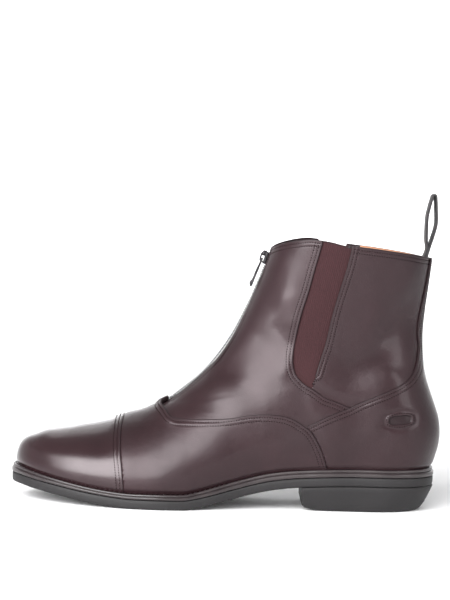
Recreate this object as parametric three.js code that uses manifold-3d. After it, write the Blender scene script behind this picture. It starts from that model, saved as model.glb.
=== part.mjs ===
// A left jodhpur boot with a front zip, elastic gores, a toe cap, a welted sole and a stacked heel.
// Millimetres. The toe points along -X, the outer side of the foot faces -Y and +Z is up.
// The origin is the centre of the heel's flat tread, on the floor.
import * as THREE from "three";
import { mergeVertices } from "three/addons/utils/BufferGeometryUtils.js";
import Module from "manifold-3d";

const wasm = await Module();
wasm.setup();

// Driving sizes of the foot
const LAST_LENGTH = 284;
const HEEL_SET = 51.5;
const BALL_WIDTH = 97;
const SEAT_WIDTH = 66;
const WAIST_WIDTH = 70;
const INSTEP_HEIGHT = 58.5;
const ANKLE_WIDTH = 66;
const COLLAR_WIDTH = 80;
const THROAT_SET = 65;
const SHAFT_RISE = 101;
const BACK_HEIGHT = 141;
const HEEL_CURVE = 13.6;

// Driving sizes of the sole
const HEEL_HEIGHT = 17.1;
const TOE_SPRING = 10.2;
const OUTSOLE_THICKNESS = 6.4;
const WELT_THICKNESS = 5.2;
const WELT_REACH = 4.6;
const SEAT_REACH = 2.2;
const WELT_STEP = 0.9;
const HEEL_LENGTH = 92;
const HEEL_TAPER = 3.6;

// Walls, steps and clearances
const WALL = 2.4;
const OVERLAY = 1;
const CAP_OVERLAY = 1.6;
const GAP = 0.3;
const LASTING_MARGIN = 9;
const INSOLE_THICKNESS = 2.6;
const FORM_OVERRUN = 16;

// Elastic, zip and pull loop
const GORE_THICKNESS = 1.5;
const GORE_SINK = 0.5;
const SLOT_WIDTH = 11;
const TAPE_SINK = 0.6;
const TAPE_THICKNESS = 1;
const TEETH_WIDTH = 4.6;
const TEETH_RISE = 1;
const SLIDER_LENGTH = 10;
const SLIDER_WIDTH = 8.6;
const SLIDER_SET = 5.5;
const PLATE_THICKNESS = 0.8;
const BRIDGE_WIDTH = 2.4;
const BRIDGE_THICKNESS = 1;
const BRIDGE_LENGTH = 7.6;
const PIN_RADIUS = 0.55;
const PULL_LENGTH = 20;
const PULL_WIDTH = 5.4;
const PULL_THICKNESS = 1.6;
const PULL_EYE = 6.2;
const PULL_REST_ANGLE = 5;
const LOOP_HEIGHT = 35;
const LOOP_OPENING = 8.4;
const WEBBING_WIDTH = 17;
const WEBBING_THICKNESS = 1.7;
const LOOP_TAIL = 14;
const LOOP_LEAN = 1.6;

const RINGS = 21;
const SIDES = 38;
const INNER_RINGS = 15;
const INNER_SIDES = 28;

const TOE_X = HEEL_SET - LAST_LENGTH;
const SEAT_HEIGHT = HEEL_HEIGHT + OUTSOLE_THICKNESS + WELT_THICKNESS;

// The sole from the side: along is a share of the last from the toe, spring a share of the toe
// spring, lift a share of the heel's height, and welt a share of the welt's thickness.
const SOLE_LINE = [
  { along: -0.03, spring: 1.02, lift: 0, welt: 1.08 },
  { along: 0.006, spring: 1, lift: 0, welt: 1.05 },
  { along: 0.036, spring: 0.87, lift: 0, welt: 0.95 },
  { along: 0.092, spring: 0.63, lift: 0, welt: 0.8 },
  { along: 0.15, spring: 0.38, lift: 0, welt: 0.74 },
  { along: 0.205, spring: 0.17, lift: 0, welt: 0.7 },
  { along: 0.25, spring: 0.05, lift: 0, welt: 0.7 },
  { along: 0.28, spring: 0, lift: 0, welt: 0.72 },
  { along: 0.4, spring: 0, lift: 0, welt: 0.76 },
  { along: 0.424, spring: 0, lift: 0.06, welt: 0.82 },
  { along: 0.452, spring: 0, lift: 0.155, welt: 0.9 },
  { along: 0.49, spring: 0, lift: 0.32, welt: 0.98 },
  { along: 0.526, spring: 0, lift: 0.48, welt: 1 },
  { along: 0.563, spring: 0, lift: 0.64, welt: 1 },
  { along: 0.6, spring: 0, lift: 0.775, welt: 1 },
  { along: 0.638, spring: 0, lift: 0.865, welt: 1 },
  { along: 0.676, spring: 0, lift: 0.92, welt: 1 },
  { along: 0.73, spring: 0, lift: 0.97, welt: 1 },
  { along: 0.79, spring: 0, lift: 1, welt: 1 },
  { along: 0.91, spring: 0, lift: 1, welt: 1.04 },
  { along: 1.03, spring: 0, lift: 1, welt: 1.16 },
];

// The feather line in plan: half is a share of the ball's width, waist and seat mark how much the
// waist's and the seat's own widths rule there, and swing moves the middle towards the inner side.
const PLAN_LINE = [
  { along: 0, half: 0.39, waist: 0, seat: 0, swing: 0.05, tuck: 0.02 },
  { along: 0.1, half: 0.43, waist: 0, seat: 0, swing: 0.045, tuck: 0.03 },
  { along: 0.2, half: 0.478, waist: 0, seat: 0, swing: 0.02, tuck: 0.04 },
  { along: 0.28, half: 0.498, waist: 0, seat: 0, swing: -0.006, tuck: 0.04 },
  { along: 0.36, half: 0.497, waist: 0, seat: 0, swing: -0.025, tuck: 0.05 },
  { along: 0.46, half: 0.476, waist: 0.28, seat: 0, swing: -0.04, tuck: 0.075 },
  { along: 0.58, half: 0.44, waist: 0.85, seat: 0, swing: -0.044, tuck: 0.11 },
  { along: 0.7, half: 0.42, waist: 0.5, seat: 0.5, swing: -0.03, tuck: 0.09 },
  { along: 0.82, half: 0.4, waist: 0, seat: 1, swing: -0.01, tuck: 0.06 },
  { along: 1, half: 0.4, waist: 0, seat: 1, swing: 0, tuck: 0.05 },
];
const TOE_ROUND = { share: 0.2, power: 2.15 };
const HEEL_ROUND = { share: 0.13, power: 2.2 };

// The middle line from the toe over the vamp: rise is a share of the instep's height over the feather.
const VAMP_LINE = [
  { along: 0, rise: 0 },
  { along: 0.0005, rise: 0.075 },
  { along: 0.0035, rise: 0.155 },
  { along: 0.0105, rise: 0.238 },
  { along: 0.0215, rise: 0.297 },
  { along: 0.04, rise: 0.358 },
  { along: 0.068, rise: 0.437 },
  { along: 0.106, rise: 0.505 },
  { along: 0.145, rise: 0.58 },
  { along: 0.183, rise: 0.645 },
  { along: 0.22, rise: 0.713 },
  { along: 0.258, rise: 0.808 },
  { along: 0.296, rise: 0.868 },
  { along: 0.333, rise: 0.953 },
  { along: 0.3535, rise: 1 },
];

// The middle line from the throat up the shaft's front: set is a share of the throat's distance to
// the collar, rise a share of the shaft's rise over the throat.
const SHAFT_LINE = [
  { set: 0.165, rise: 0.084 },
  { set: 0.33, rise: 0.174 },
  { set: 0.492, rise: 0.296 },
  { set: 0.65, rise: 0.452 },
  { set: 0.79, rise: 0.64 },
  { set: 0.9, rise: 0.812 },
  { set: 0.962, rise: 0.918 },
  { set: 1, rise: 1 },
];

// The back's middle line: bulge is a share of the heel's curve, rise a share of the back's height.
const BACK_LINE = [
  { bulge: 0.64, rise: 0 },
  { bulge: 0.8, rise: 0.05 },
  { bulge: 0.95, rise: 0.105 },
  { bulge: 1, rise: 0.165 },
  { bulge: 0.91, rise: 0.235 },
  { bulge: 0.72, rise: 0.29 },
  { bulge: 0.43, rise: 0.365 },
  { bulge: 0.18, rise: 0.44 },
  { bulge: 0.045, rise: 0.515 },
  { bulge: 0, rise: 0.585 },
  { bulge: 0, rise: 0.66 },
  { bulge: 0.06, rise: 0.74 },
  { bulge: 0.165, rise: 0.835 },
  { bulge: 0.27, rise: 0.93 },
  { bulge: 0.34, rise: 1 },
];

// The shaft's half widths up the rings, shared between the ankle's and the collar's width, and the
// power of its oval section.
const SHAFT_WIDTHS = [
  { ring: 0.4, collar: 0.1, power: 1.9 },
  { ring: 0.6, collar: 0, power: 1.95 },
  { ring: 0.72, collar: 0.16, power: 2.05 },
  { ring: 0.86, collar: 0.62, power: 2.15 },
  { ring: 1, collar: 1, power: 2.2 },
];
const FOOT_TO_SHAFT = { from: 0.36, to: 0.66 };
const ARCH_FULLNESS = [
  { along: 0, power: 2.5, root: 2.1 },
  { along: 0.15, power: 2.25, root: 2.0 },
  { along: 0.35, power: 1.9, root: 1.9 },
  { along: 0.6, power: 1.7, root: 1.8 },
];
const TUCK_HEIGHT = 24;

// Seams seen from the side: along is a share of the last from the toe, up a share of the shaft's
// total height over the floor.
const TOTAL_HEIGHT = SEAT_HEIGHT + BACK_HEIGHT;
const CAP_SEAM = [
  { along: 0.262, up: 0.42 },
  { along: 0.2535, up: 0.345 },
  { along: 0.249, up: 0.3 },
  { along: 0.2505, up: 0.22 },
  { along: 0.2565, up: 0.14 },
  { along: 0.266, up: 0 },
];
const VAMP_SEAM = [
  { along: 0.318, up: 0.44 },
  { along: 0.3375, up: 0.394 },
  { along: 0.352, up: 0.37 },
  { along: 0.3665, up: 0.349 },
  { along: 0.4, up: 0.347 },
  { along: 0.45, up: 0.351 },
  { along: 0.5, up: 0.357 },
  { along: 0.545, up: 0.371 },
  { along: 0.585, up: 0.377 },
  { along: 0.622, up: 0.374 },
  { along: 0.65, up: 0.361 },
  { along: 0.672, up: 0.34 },
  { along: 0.691, up: 0.317 },
  { along: 0.708, up: 0.275 },
  { along: 0.722, up: 0.225 },
  { along: 0.736, up: 0.15 },
  { along: 0.745, up: 0.05 },
];
const COUNTER_SEAM = [
  { along: 0.68, up: 0.335 },
  { along: 0.695, up: 0.345 },
  { along: 0.727, up: 0.373 },
  { along: 0.757, up: 0.395 },
  { along: 0.78, up: 0.41 },
  { along: 0.81, up: 0.435 },
  { along: 0.843, up: 0.459 },
  { along: 0.876, up: 0.484 },
  { along: 0.904, up: 0.508 },
  { along: 0.922, up: 0.532 },
  { along: 0.933, up: 0.562 },
  { along: 0.9395, up: 0.598 },
  { along: 0.9435, up: 0.645 },
  { along: 0.947, up: 0.7 },
];
const GORE_FRONT = [
  { along: 0.712, up: 1.12 },
  { along: 0.703, up: 1.04 },
  { along: 0.688, up: 0.94 },
  { along: 0.677, up: 0.862 },
  { along: 0.664, up: 0.785 },
  { along: 0.655, up: 0.718 },
  { along: 0.648, up: 0.652 },
  { along: 0.6455, up: 0.61 },
  { along: 0.646, up: 0.575 },
  { along: 0.652, up: 0.54 },
  { along: 0.664, up: 0.514 },
  { along: 0.68, up: 0.493 },
  { along: 0.6935, up: 0.481 },
];
const GORE_REAR = [
  { along: 0.7, up: 0.54 },
  { along: 0.71, up: 0.6 },
  { along: 0.7195, up: 0.655 },
  { along: 0.733, up: 0.768 },
  { along: 0.7445, up: 0.845 },
  { along: 0.762, up: 0.952 },
  { along: 0.774, up: 1.042 },
  { along: 0.784, up: 1.12 },
];
const COLLAR_EDGE = [
  { along: 0.5, up: 0.97 },
  { along: 0.5775, up: 1.008 },
  { along: 0.5875, up: 1.026 },
  { along: 0.598, up: 1.037 },
  { along: 0.61, up: 1.045 },
  { along: 0.63, up: 1.054 },
  { along: 0.655, up: 1.062 },
  { along: 0.68, up: 1.066 },
  { along: 0.705, up: 1.062 },
  { along: 0.74, up: 1.056 },
  { along: 0.775, up: 1.046 },
  { along: 0.84, up: 1.035 },
  { along: 0.91, up: 1.02 },
  { along: 0.97, up: 1.004 },
  { along: 1.03, up: 0.992 },
];
const BACK_STAY_WIDTH = 19;

function blend(a, b, share) {
  return a + (b - a) * share;
}

function smoothstep(from, to, at) {
  const share = Math.min(1, Math.max(0, (at - from) / (to - from)));
  return share * share * (3 - 2 * share);
}

// A smooth curve through rows of numbers, read at a distance measured along their own spacing.
function hermite(knots, rows) {
  const slope = (i) => {
    const a = Math.max(0, i - 1);
    const b = Math.min(knots.length - 1, i + 1);
    return rows[a].map((value, c) => (rows[b][c] - value) / (knots[b] - knots[a]));
  };
  const slopes = knots.map((_, i) => slope(i));
  return (at) => {
    let i = 0;
    while (i < knots.length - 2 && at > knots[i + 1]) i += 1;
    const span = knots[i + 1] - knots[i];
    const s = Math.min(1, Math.max(0, (at - knots[i]) / span));
    const early = (1 + 2 * s) * (1 - s) ** 2;
    const late = s * s * (3 - 2 * s);
    const out = s * (1 - s) ** 2 * span;
    const back = s * s * (s - 1) * span;
    return rows[i].map((value, c) => early * value + late * rows[i + 1][c]
      + out * slopes[i][c] + back * slopes[i + 1][c]);
  };
}

// A table's columns as one smooth function of its first column.
function tableCurve(table, at, ...columns) {
  return hermite(table.map((row) => row[at]), table.map((row) => columns.map((c) => row[c])));
}

// A curve through points of the side view, read by the share of its length.
function lineThrough(points) {
  const lengths = [0];
  points.slice(1).forEach(([x, z], i) => {
    lengths.push(lengths[i] + Math.hypot(x - points[i][0], z - points[i][1]));
  });
  const curve = hermite(lengths, points);
  return (share) => curve(share * lengths.at(-1));
}

const soleRow = tableCurve(SOLE_LINE, "along", "spring", "lift", "welt");
const shareAlong = (x) => (x - TOE_X) / LAST_LENGTH;
const xAlong = (share) => TOE_X + share * LAST_LENGTH;

// Heights of the sole's layers over the floor at x.
function soleLayers(x) {
  const [spring, lift, welt] = soleRow(shareAlong(x));
  const bottom = Math.max(0, spring * TOE_SPRING + lift * HEEL_HEIGHT);
  const groove = bottom + OUTSOLE_THICKNESS;
  return { bottom, groove, feather: groove + welt * WELT_THICKNESS };
}

const feather = (x) => soleLayers(x).feather;

// The two middle lines, run on past the collar so that the collar can be cut from them.
function overrun(points) {
  const [[x0, z0], [x1, z1]] = points.slice(-2);
  const share = FORM_OVERRUN / (z1 - z0);
  return [...points, [x1 + (x1 - x0) * share, z1 + FORM_OVERRUN]];
}

const vampPoints = VAMP_LINE.map(({ along, rise }) => {
  const x = xAlong(along);
  return [x, feather(x) + rise * INSTEP_HEIGHT];
});
const [THROAT_X, THROAT_Z] = vampPoints.at(-1);
const shaftPoints = SHAFT_LINE.map(({ set, rise }) =>
  [THROAT_X + set * THROAT_SET, THROAT_Z + rise * SHAFT_RISE]);
const frontPoints = overrun([...vampPoints, ...shaftPoints]);
const backPoints = overrun(BACK_LINE.map(({ bulge, rise }) =>
  [HEEL_SET - HEEL_CURVE * (1 - bulge), feather(HEEL_SET) + rise * BACK_HEIGHT]));
const frontLine = lineThrough(frontPoints);
const backLine = lineThrough(backPoints);
const TOP_SAMPLES = 160;
const topSamples = Array.from({ length: TOP_SAMPLES + 1 }, (_, i) => frontLine(i / TOP_SAMPLES));

// Height of the middle line over x; behind the shaft's front it runs on steeply upwards.
function topHeight(x) {
  const last = topSamples.at(-1);
  if (x >= last[0]) return last[1] + (x - last[0]) * 4;
  let i = 0;
  while (i < TOP_SAMPLES - 1 && topSamples[i + 1][0] < x) i += 1;
  const [[x0, z0], [x1, z1]] = [topSamples[i], topSamples[i + 1]];
  return blend(z0, z1, Math.min(1, Math.max(0, (x - x0) / (x1 - x0 || 1))));
}

const planRow = tableCurve(PLAN_LINE, "along", "half", "waist", "seat", "swing", "tuck");
const archRow = tableCurve(ARCH_FULLNESS, "along", "power", "root");
const widthRow = tableCurve(SHAFT_WIDTHS, "ring", "collar", "power");

// The closing of an outline at the toe and at the heel.
function endRound(along) {
  const toe = Math.min(1, along / TOE_ROUND.share);
  const heel = Math.min(1, (1 - along) / HEEL_ROUND.share);
  const close = (at, power) => (1 - Math.max(0, 1 - Math.max(0, at)) ** power) ** (1 / power);
  return close(toe, TOE_ROUND.power) * close(heel, HEEL_ROUND.power);
}

// Half the foot's width at a share of its length, and how far its middle swings inwards.
function planWidth(along) {
  const [half, waist, seat, swing, tuck] = planRow(along);
  const ball = Math.max(0, 1 - waist - seat);
  const width = half * ball * BALL_WIDTH + (waist * WAIST_WIDTH + seat * SEAT_WIDTH) / 2;
  return { half: width * endRound(along), swing: swing * BALL_WIDTH, tuck };
}

// How far the feather line hangs below a straight line from the toe to the heel.
const SAG_RINGS = 0.5;
const [[toeX, toeZ], [seatX, seatZ]] = [frontLine(0), backLine(0)];
const sag = (across) => blend(toeZ, seatZ, across) - feather(blend(toeX, seatX, across));

// A point of the upper's outer face: ring 0 is the feather line and ring 1 the top of the form;
// turn runs once round the ring, from the front over the outer side to the back.
function facePoint(ring, turn) {
  const [fx, fz] = frontLine(ring);
  const [bx, bz] = backLine(ring);
  const across = (1 - Math.cos(turn)) / 2;
  const x = blend(fx, bx, across);
  const z = blend(fz, bz, across) - sag(across) * (1 - smoothstep(0, SAG_RINGS, ring));
  const low = feather(x);
  const { half, swing, tuck } = planWidth((x - TOE_X) / (bx - TOE_X));
  const height = Math.min(1, Math.max(0, (z - low) / Math.max(0.5, topHeight(x) - low)));
  const [archPower, archRoot] = archRow(Math.min(0.6, shareAlong(x)));
  const tucked = 1 - tuck * (1 - Math.min(1, Math.max(0, z - low) / TUCK_HEIGHT)) ** 2;
  const foot = half * tucked * (1 - height ** archPower) ** (1 / archRoot);
  const [collar, power] = widthRow(Math.max(SHAFT_WIDTHS[0].ring, ring));
  const shaftWidth = blend(ANKLE_WIDTH, COLLAR_WIDTH, collar) / 2;
  const shaft = shaftWidth * (1 - Math.abs(Math.cos(turn)) ** power) ** (1 / power);
  const share = smoothstep(FOOT_TO_SHAFT.from, FOOT_TO_SHAFT.to, ring);
  const middle = swing * (1 - share);
  return new THREE.Vector3(x, middle - Math.sign(Math.sin(turn)) * blend(foot, shaft, share), z);
}

// The outward normal of that face, level along the feather line.
function faceNormal(ring, turn) {
  const step = 0.004;
  const low = Math.max(0, ring - step);
  const high = Math.min(1, ring + step);
  const up = facePoint(high, turn).sub(facePoint(low, turn));
  const round = facePoint(ring, turn + 0.02).sub(facePoint(ring, turn - 0.02));
  const normal = new THREE.Vector3().crossVectors(round, up);
  if (ring < 0.03) normal.z *= ring / 0.03;
  return normal.normalize();
}

// A closed body from rings of equal length; its ends are closed by strips between the two sides.
function loft(rings) {
  const count = rings[0].length;
  const positions = rings.flat().flatMap((p) => [p.x, p.y, p.z]);
  const faces = [];
  for (let r = 0; r < rings.length - 1; r += 1) {
    for (let i = 0; i < count; i += 1) {
      const j = (i + 1) % count;
      const [a, b, c, d] = [r * count + i, r * count + j, (r + 1) * count + j, (r + 1) * count + i];
      faces.push(a, b, c, a, c, d);
    }
  }
  const close = (start, flip) => {
    for (let i = 0; i < count / 2; i += 1) {
      const [a, b] = [start + i, start + i + 1];
      const [c, d] = [start + (count - i - 1), start + ((count - i) % count)];
      if (i > 0) faces.push(...(flip ? [a, d, b] : [a, b, d]));
      if (i < count / 2 - 1) faces.push(...(flip ? [d, c, b] : [d, b, c]));
    }
  };
  close(0, true);
  close((rings.length - 1) * count, false);
  const geometry = new THREE.BufferGeometry();
  geometry.setAttribute("position", new THREE.Float32BufferAttribute(positions, 3));
  geometry.setIndex(faces);
  return geometry;
}

// A closed three.js geometry as a solid that can be joined and cut.
function solid(geometry) {
  const bare = geometry.clone();
  bare.deleteAttribute("normal");
  bare.deleteAttribute("uv");
  const merged = mergeVertices(bare, 1e-4);
  const body = new wasm.Manifold(new wasm.Mesh({
    numProp: 3,
    vertProperties: new Float32Array(merged.attributes.position.array),
    triVerts: new Uint32Array(merged.index.array),
  }));
  return body;
}

// The upper's form at a distance from its outer face, closed at both ends.
const SKIRT = 6;
function form(offset, rings = RINGS, sides = SIDES) {
  const turns = Array.from({ length: sides }, (_, i) => (i * 2 * Math.PI) / sides);
  const levels = Array.from({ length: rings + 1 }, (_, i) => (i / rings) ** 1.35);
  const loops = levels.map((ring) => turns.map((turn) =>
    facePoint(ring, turn).addScaledVector(faceNormal(ring, turn), offset)));
  const skirt = loops[0].map((p) => new THREE.Vector3(p.x, p.y, p.z - SKIRT));
  return solid(loft([skirt, ...loops]));
}

// A prism across the boot from an outline in the side view, between two values of y.
const SIDE_REACH = 80;
function sidePrism(outline, from = -SIDE_REACH, to = SIDE_REACH) {
  const shape = new THREE.Shape(outline.map(([x, z]) => new THREE.Vector2(x, z)));
  const geometry = new THREE.ExtrudeGeometry(shape, { depth: to - from, bevelEnabled: false });
  geometry.rotateX(Math.PI / 2);
  geometry.translate(0, to, 0);
  return solid(geometry);
}

const SOLE_STATIONS = SOLE_LINE.map(({ along }) => xAlong(along));

// A layer of the sole in the side view, between two heights that depend on x.
function layer(low, high) {
  const under = SOLE_STATIONS.map((x) => [x, low(x)]);
  const over = SOLE_STATIONS.map((x) => [x, high(x)]).reverse();
  return sidePrism([...under, ...over]);
}

// The feather line in plan, moved outwards by a reach that may change along the boot.
const PLAN_STEPS = 24;
function planOutline(reach) {
  const end = backLine(0)[0];
  const steps = PLAN_STEPS;
  const side = (sign) => Array.from({ length: steps + 1 }, (_, i) => {
    const along = (1 - Math.cos((i * Math.PI) / steps)) / 2;
    const { half, swing, tuck } = planWidth(along);
    return new THREE.Vector2(blend(TOE_X, end, along), swing + sign * half * (1 - tuck));
  });
  const outline = [...side(-1), ...side(1).slice(1, -1).reverse()];
  return outline.map((p, i) => {
    const before = outline[(i + outline.length - 1) % outline.length];
    const after = outline[(i + 1) % outline.length];
    const run = after.clone().sub(before).normalize();
    const out = typeof reach === "function" ? reach(p.x) : reach;
    return new THREE.Vector2(p.x + run.y * out, p.y - run.x * out);
  });
}

function planPrism(reach) {
  const height = 2 * TOTAL_HEIGHT;
  const geometry = new THREE.ExtrudeGeometry(new THREE.Shape(planOutline(reach)),
    { depth: height, bevelEnabled: false });
  geometry.translate(0, 0, -height / 4);
  return solid(geometry);
}

const ARCH_X = xAlong(0.52);
const BREAST_X = HEEL_SET - HEEL_LENGTH;
const weltReach = (x) => blend(WELT_REACH, SEAT_REACH, smoothstep(xAlong(0.36), ARCH_X, x));
const overFeather = (lift) => (x) => feather(x) + lift;

const outerForm = form(0);
const innerForm = form(-WALL, INNER_RINGS, INNER_SIDES);
const coverForm = form(GAP);
const overlayForm = form(GAP + OVERLAY);
const capForm = form(GAP + CAP_OVERLAY);
const aboveSole = layer(overFeather(GAP / 2), () => 2 * TOTAL_HEIGHT);

const sidePoints = (rows) => rows.map(({ along, up }) => [xAlong(along), up * TOTAL_HEIGHT]);

// Moves a line or a closed outline of the side view to its left by a distance, corners included.
function shifted(points, distance, closed = false) {
  const count = points.length;
  const normal = (i, j) => {
    const run = [points[j][0] - points[i][0], points[j][1] - points[i][1]];
    const length = Math.hypot(...run);
    return [-run[1] / length, run[0] / length];
  };
  return points.map(([x, z], i) => {
    const before = closed || i > 0 ? normal((i + count - 1) % count, i) : normal(i, i + 1);
    const after = closed || i < count - 1 ? normal(i, (i + 1) % count) : before;
    const share = distance / (1 + before[0] * after[0] + before[1] * after[1]);
    return [x + (before[0] + after[0]) * share, z + (before[1] + after[1]) * share];
  });
}

const HIGH = 2 * TOTAL_HEIGHT;
const FAR_FRONT = xAlong(-0.2);
const FAR_BACK = xAlong(1.2);

function collarCutter(lift = 0) {
  const edge = sidePoints(COLLAR_EDGE).map(([x, z]) => [x, z + lift]);
  return sidePrism([[FAR_FRONT, edge[0][1]], ...edge, [FAR_BACK, edge.at(-1)[1]],
    [FAR_BACK, HIGH], [FAR_FRONT, HIGH]]);
}

// The elastic's outline, kept clear of the leather's edge by a margin.
function goreOutline(margin) {
  const outline = [...sidePoints(GORE_FRONT), ...sidePoints(GORE_REAR)];
  return shifted(outline, margin, true);
}

// The share of a line of the side view at which it reaches a height.
function shareAtHeight(line, height) {
  let [low, high] = [0, 1];
  for (let i = 0; i < 30; i += 1) {
    const middle = (low + high) / 2;
    if (line(middle)[1] < height) low = middle;
    else high = middle;
  }
  return (low + high) / 2;
}

const collarRow = hermite(COLLAR_EDGE.map(({ along }) => along), COLLAR_EDGE.map(({ up }) => [up]));
const collarHeight = (x) => collarRow(shareAlong(x))[0] * TOTAL_HEIGHT;
const COLLAR_FRONT = collarHeight(THROAT_X + THROAT_SET);
const COLLAR_BACK = collarHeight(HEEL_SET - HEEL_CURVE * 0.7);
const ZIP_START = shareAtHeight(frontLine, THROAT_Z + 2 * OVERLAY);
const ZIP_END = shareAtHeight(frontLine, COLLAR_FRONT);
const ZIP_STEPS = 16;

// A strip that follows the front's middle line: rows of the section give y and the lift off the face.
function frontStrip(section, from, to) {
  const rings = Array.from({ length: ZIP_STEPS + 1 }, (_, i) => {
    const ring = blend(from, to, i / ZIP_STEPS);
    const foot = facePoint(ring, 0);
    const normal = faceNormal(ring, 0);
    return section.map(([y, lift]) => new THREE.Vector3(
      foot.x + normal.x * lift, foot.y + y, foot.z + normal.z * lift));
  });
  return solid(loft(rings));
}

// A section symmetrical about the middle, listed from the top round the outer side.
function mirrored(half) {
  const other = half.slice(1, -1).map(([y, lift]) => [-y, lift]).reverse();
  return [...half, ...other];
}

function makeUpper() {
  const hollow = innerForm.intersect(layer(overFeather(GAP / 2 + WALL), () => HIGH));
  const opening = planPrism(-LASTING_MARGIN).intersect(layer(() => -SKIRT, overFeather(2 * WALL)));
  const [over, under] = [3 * WALL, -3 * WALL];
  const edge = -SLOT_WIDTH / 2;
  const slot = frontStrip(mirrored([[0, over], [edge, over], [edge, under], [0, under]]), ZIP_START, 1);
  const gores = sidePrism(goreOutline(0));
  return outerForm.intersect(aboveSole).subtract(hollow).subtract(opening)
    .subtract(collarCutter()).subtract(slot).subtract(gores);
}

function makeGore(sign) {
  const sheet = form(-GORE_SINK).subtract(form(-GORE_SINK - GORE_THICKNESS));
  const [from, to] = sign < 0 ? [-SIDE_REACH, -GAP] : [GAP, SIDE_REACH];
  return sheet.intersect(sidePrism(goreOutline(GAP), from, to)).subtract(collarCutter());
}

function makeToeCap() {
  const edge = shifted(sidePoints(CAP_SEAM), -GAP / 2);
  const front = sidePrism([...edge, [FAR_FRONT, edge.at(-1)[1]], [FAR_FRONT, edge[0][1]]]);
  return capForm.subtract(coverForm).intersect(aboveSole).intersect(front);
}

function makeVamp() {
  const front = shifted(sidePoints(CAP_SEAM), GAP / 2);
  const rear = shifted(sidePoints(VAMP_SEAM), -GAP / 2);
  return overlayForm.subtract(coverForm).intersect(aboveSole)
    .intersect(sidePrism([...front.reverse(), ...rear]));
}

function makeCounter() {
  const front = shifted(sidePoints(VAMP_SEAM), GAP / 2).slice(12).reverse();
  const top = sidePoints(COUNTER_SEAM);
  const backTop = [FAR_BACK, top.at(-1)[1]];
  const cup = sidePrism([...front, ...top.slice(1), backTop, [FAR_BACK, -SKIRT], [front[0][0], -SKIRT]]);
  const [stayFrontX, stayZ] = top.at(-1);
  const stayFoot = stayZ - BACK_STAY_WIDTH / 4;
  const stayReach = stayFrontX - BACK_STAY_WIDTH;
  const stay = sidePrism([[stayReach, stayFoot], [FAR_BACK, stayFoot], [FAR_BACK, HIGH], [stayReach, HIGH]],
    -BACK_STAY_WIDTH / 2, BACK_STAY_WIDTH / 2);
  const shell = overlayForm.subtract(coverForm).intersect(aboveSole);
  return shell.intersect(cup.add(stay)).subtract(collarCutter());
}

function makeWelt() {
  const low = (x) => soleLayers(x).groove + GAP / 2;
  const high = overFeather(-GAP / 2);
  const middle = (x) => blend(low(x), high(x), 0.52);
  const body = layer(low, middle).intersect(planPrism(weltReach));
  const top = layer(low, high).intersect(planPrism((x) => weltReach(x) - WELT_STEP));
  return body.add(top).subtract(planPrism(-LASTING_MARGIN + GAP));
}

function makeOutsole() {
  const plate = layer((x) => soleLayers(x).bottom, (x) => soleLayers(x).groove - GAP / 2)
    .intersect(planPrism((x) => weltReach(x) - WELT_STEP / 3));
  const bed = layer((x) => soleLayers(x).groove - 1, overFeather(-GAP / 2))
    .intersect(planPrism(-LASTING_MARGIN));
  return plate.add(bed);
}

// The heel block narrows towards its tread; its breast is upright, and its tread is rounded in front.
function makeHeel() {
  const outline = (inset) => planOutline((x) => weltReach(x) - WELT_STEP / 3 - inset)
    .map((p) => new THREE.Vector2(p.x, p.y));
  const rings = [[0, HEEL_TAPER], [0.5, HEEL_TAPER / 2], [1, 0], [1.2, 0]].map(([share, inset]) =>
    outline(inset).map((p) => new THREE.Vector3(p.x, p.y, share * HEEL_HEIGHT)));
  const block = solid(loft(rings));
  const top = (x) => soleLayers(x).bottom - GAP;
  const back = HEEL_SET + WELT_REACH;
  const tread = [[BREAST_X, top(BREAST_X)], [BREAST_X + 0.4, 0.45 * HEEL_HEIGHT],
    [BREAST_X + 1.5, 0.2 * HEEL_HEIGHT], [BREAST_X + 6.5, 0.06 * HEEL_HEIGHT],
    [-12, 0], [back, 0]];
  const roof = SOLE_STATIONS.filter((x) => x > BREAST_X).map((x) => [x, top(x)]).reverse();
  return block.intersect(sidePrism([...tread, ...roof]));
}

function makeInsole() {
  const seat = form(-WALL - GAP, INNER_RINGS, INNER_SIDES);
  const low = GAP / 2 + WALL + GAP;
  const plate = seat.intersect(layer(overFeather(low), overFeather(low + INSOLE_THICKNESS)));
  const plug = planPrism(-LASTING_MARGIN - GAP)
    .intersect(layer(overFeather(GAP / 2), overFeather(low + 1)));
  return plate.add(plug);
}

// The closed zip: two tapes with the meshed teeth raised along the middle; spare widens and lifts it.
function zipSection(spare = 0) {
  const tape = SLOT_WIDTH / 2 - GAP;
  const teeth = TEETH_WIDTH / 2 + spare;
  const [top, face, back] = [TEETH_RISE + spare, -TAPE_SINK + spare, -TAPE_SINK - TAPE_THICKNESS];
  return mirrored([[0, top], [-teeth * 0.7, top], [-teeth, top * 0.5], [-teeth, face],
    [-tape, face], [-tape, back], [0, back]]);
}

function makeZipChain() {
  const margin = GAP / LAST_LENGTH;
  return frontStrip(zipSection(), ZIP_START + margin, 1).subtract(collarCutter(-GAP));
}

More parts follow.
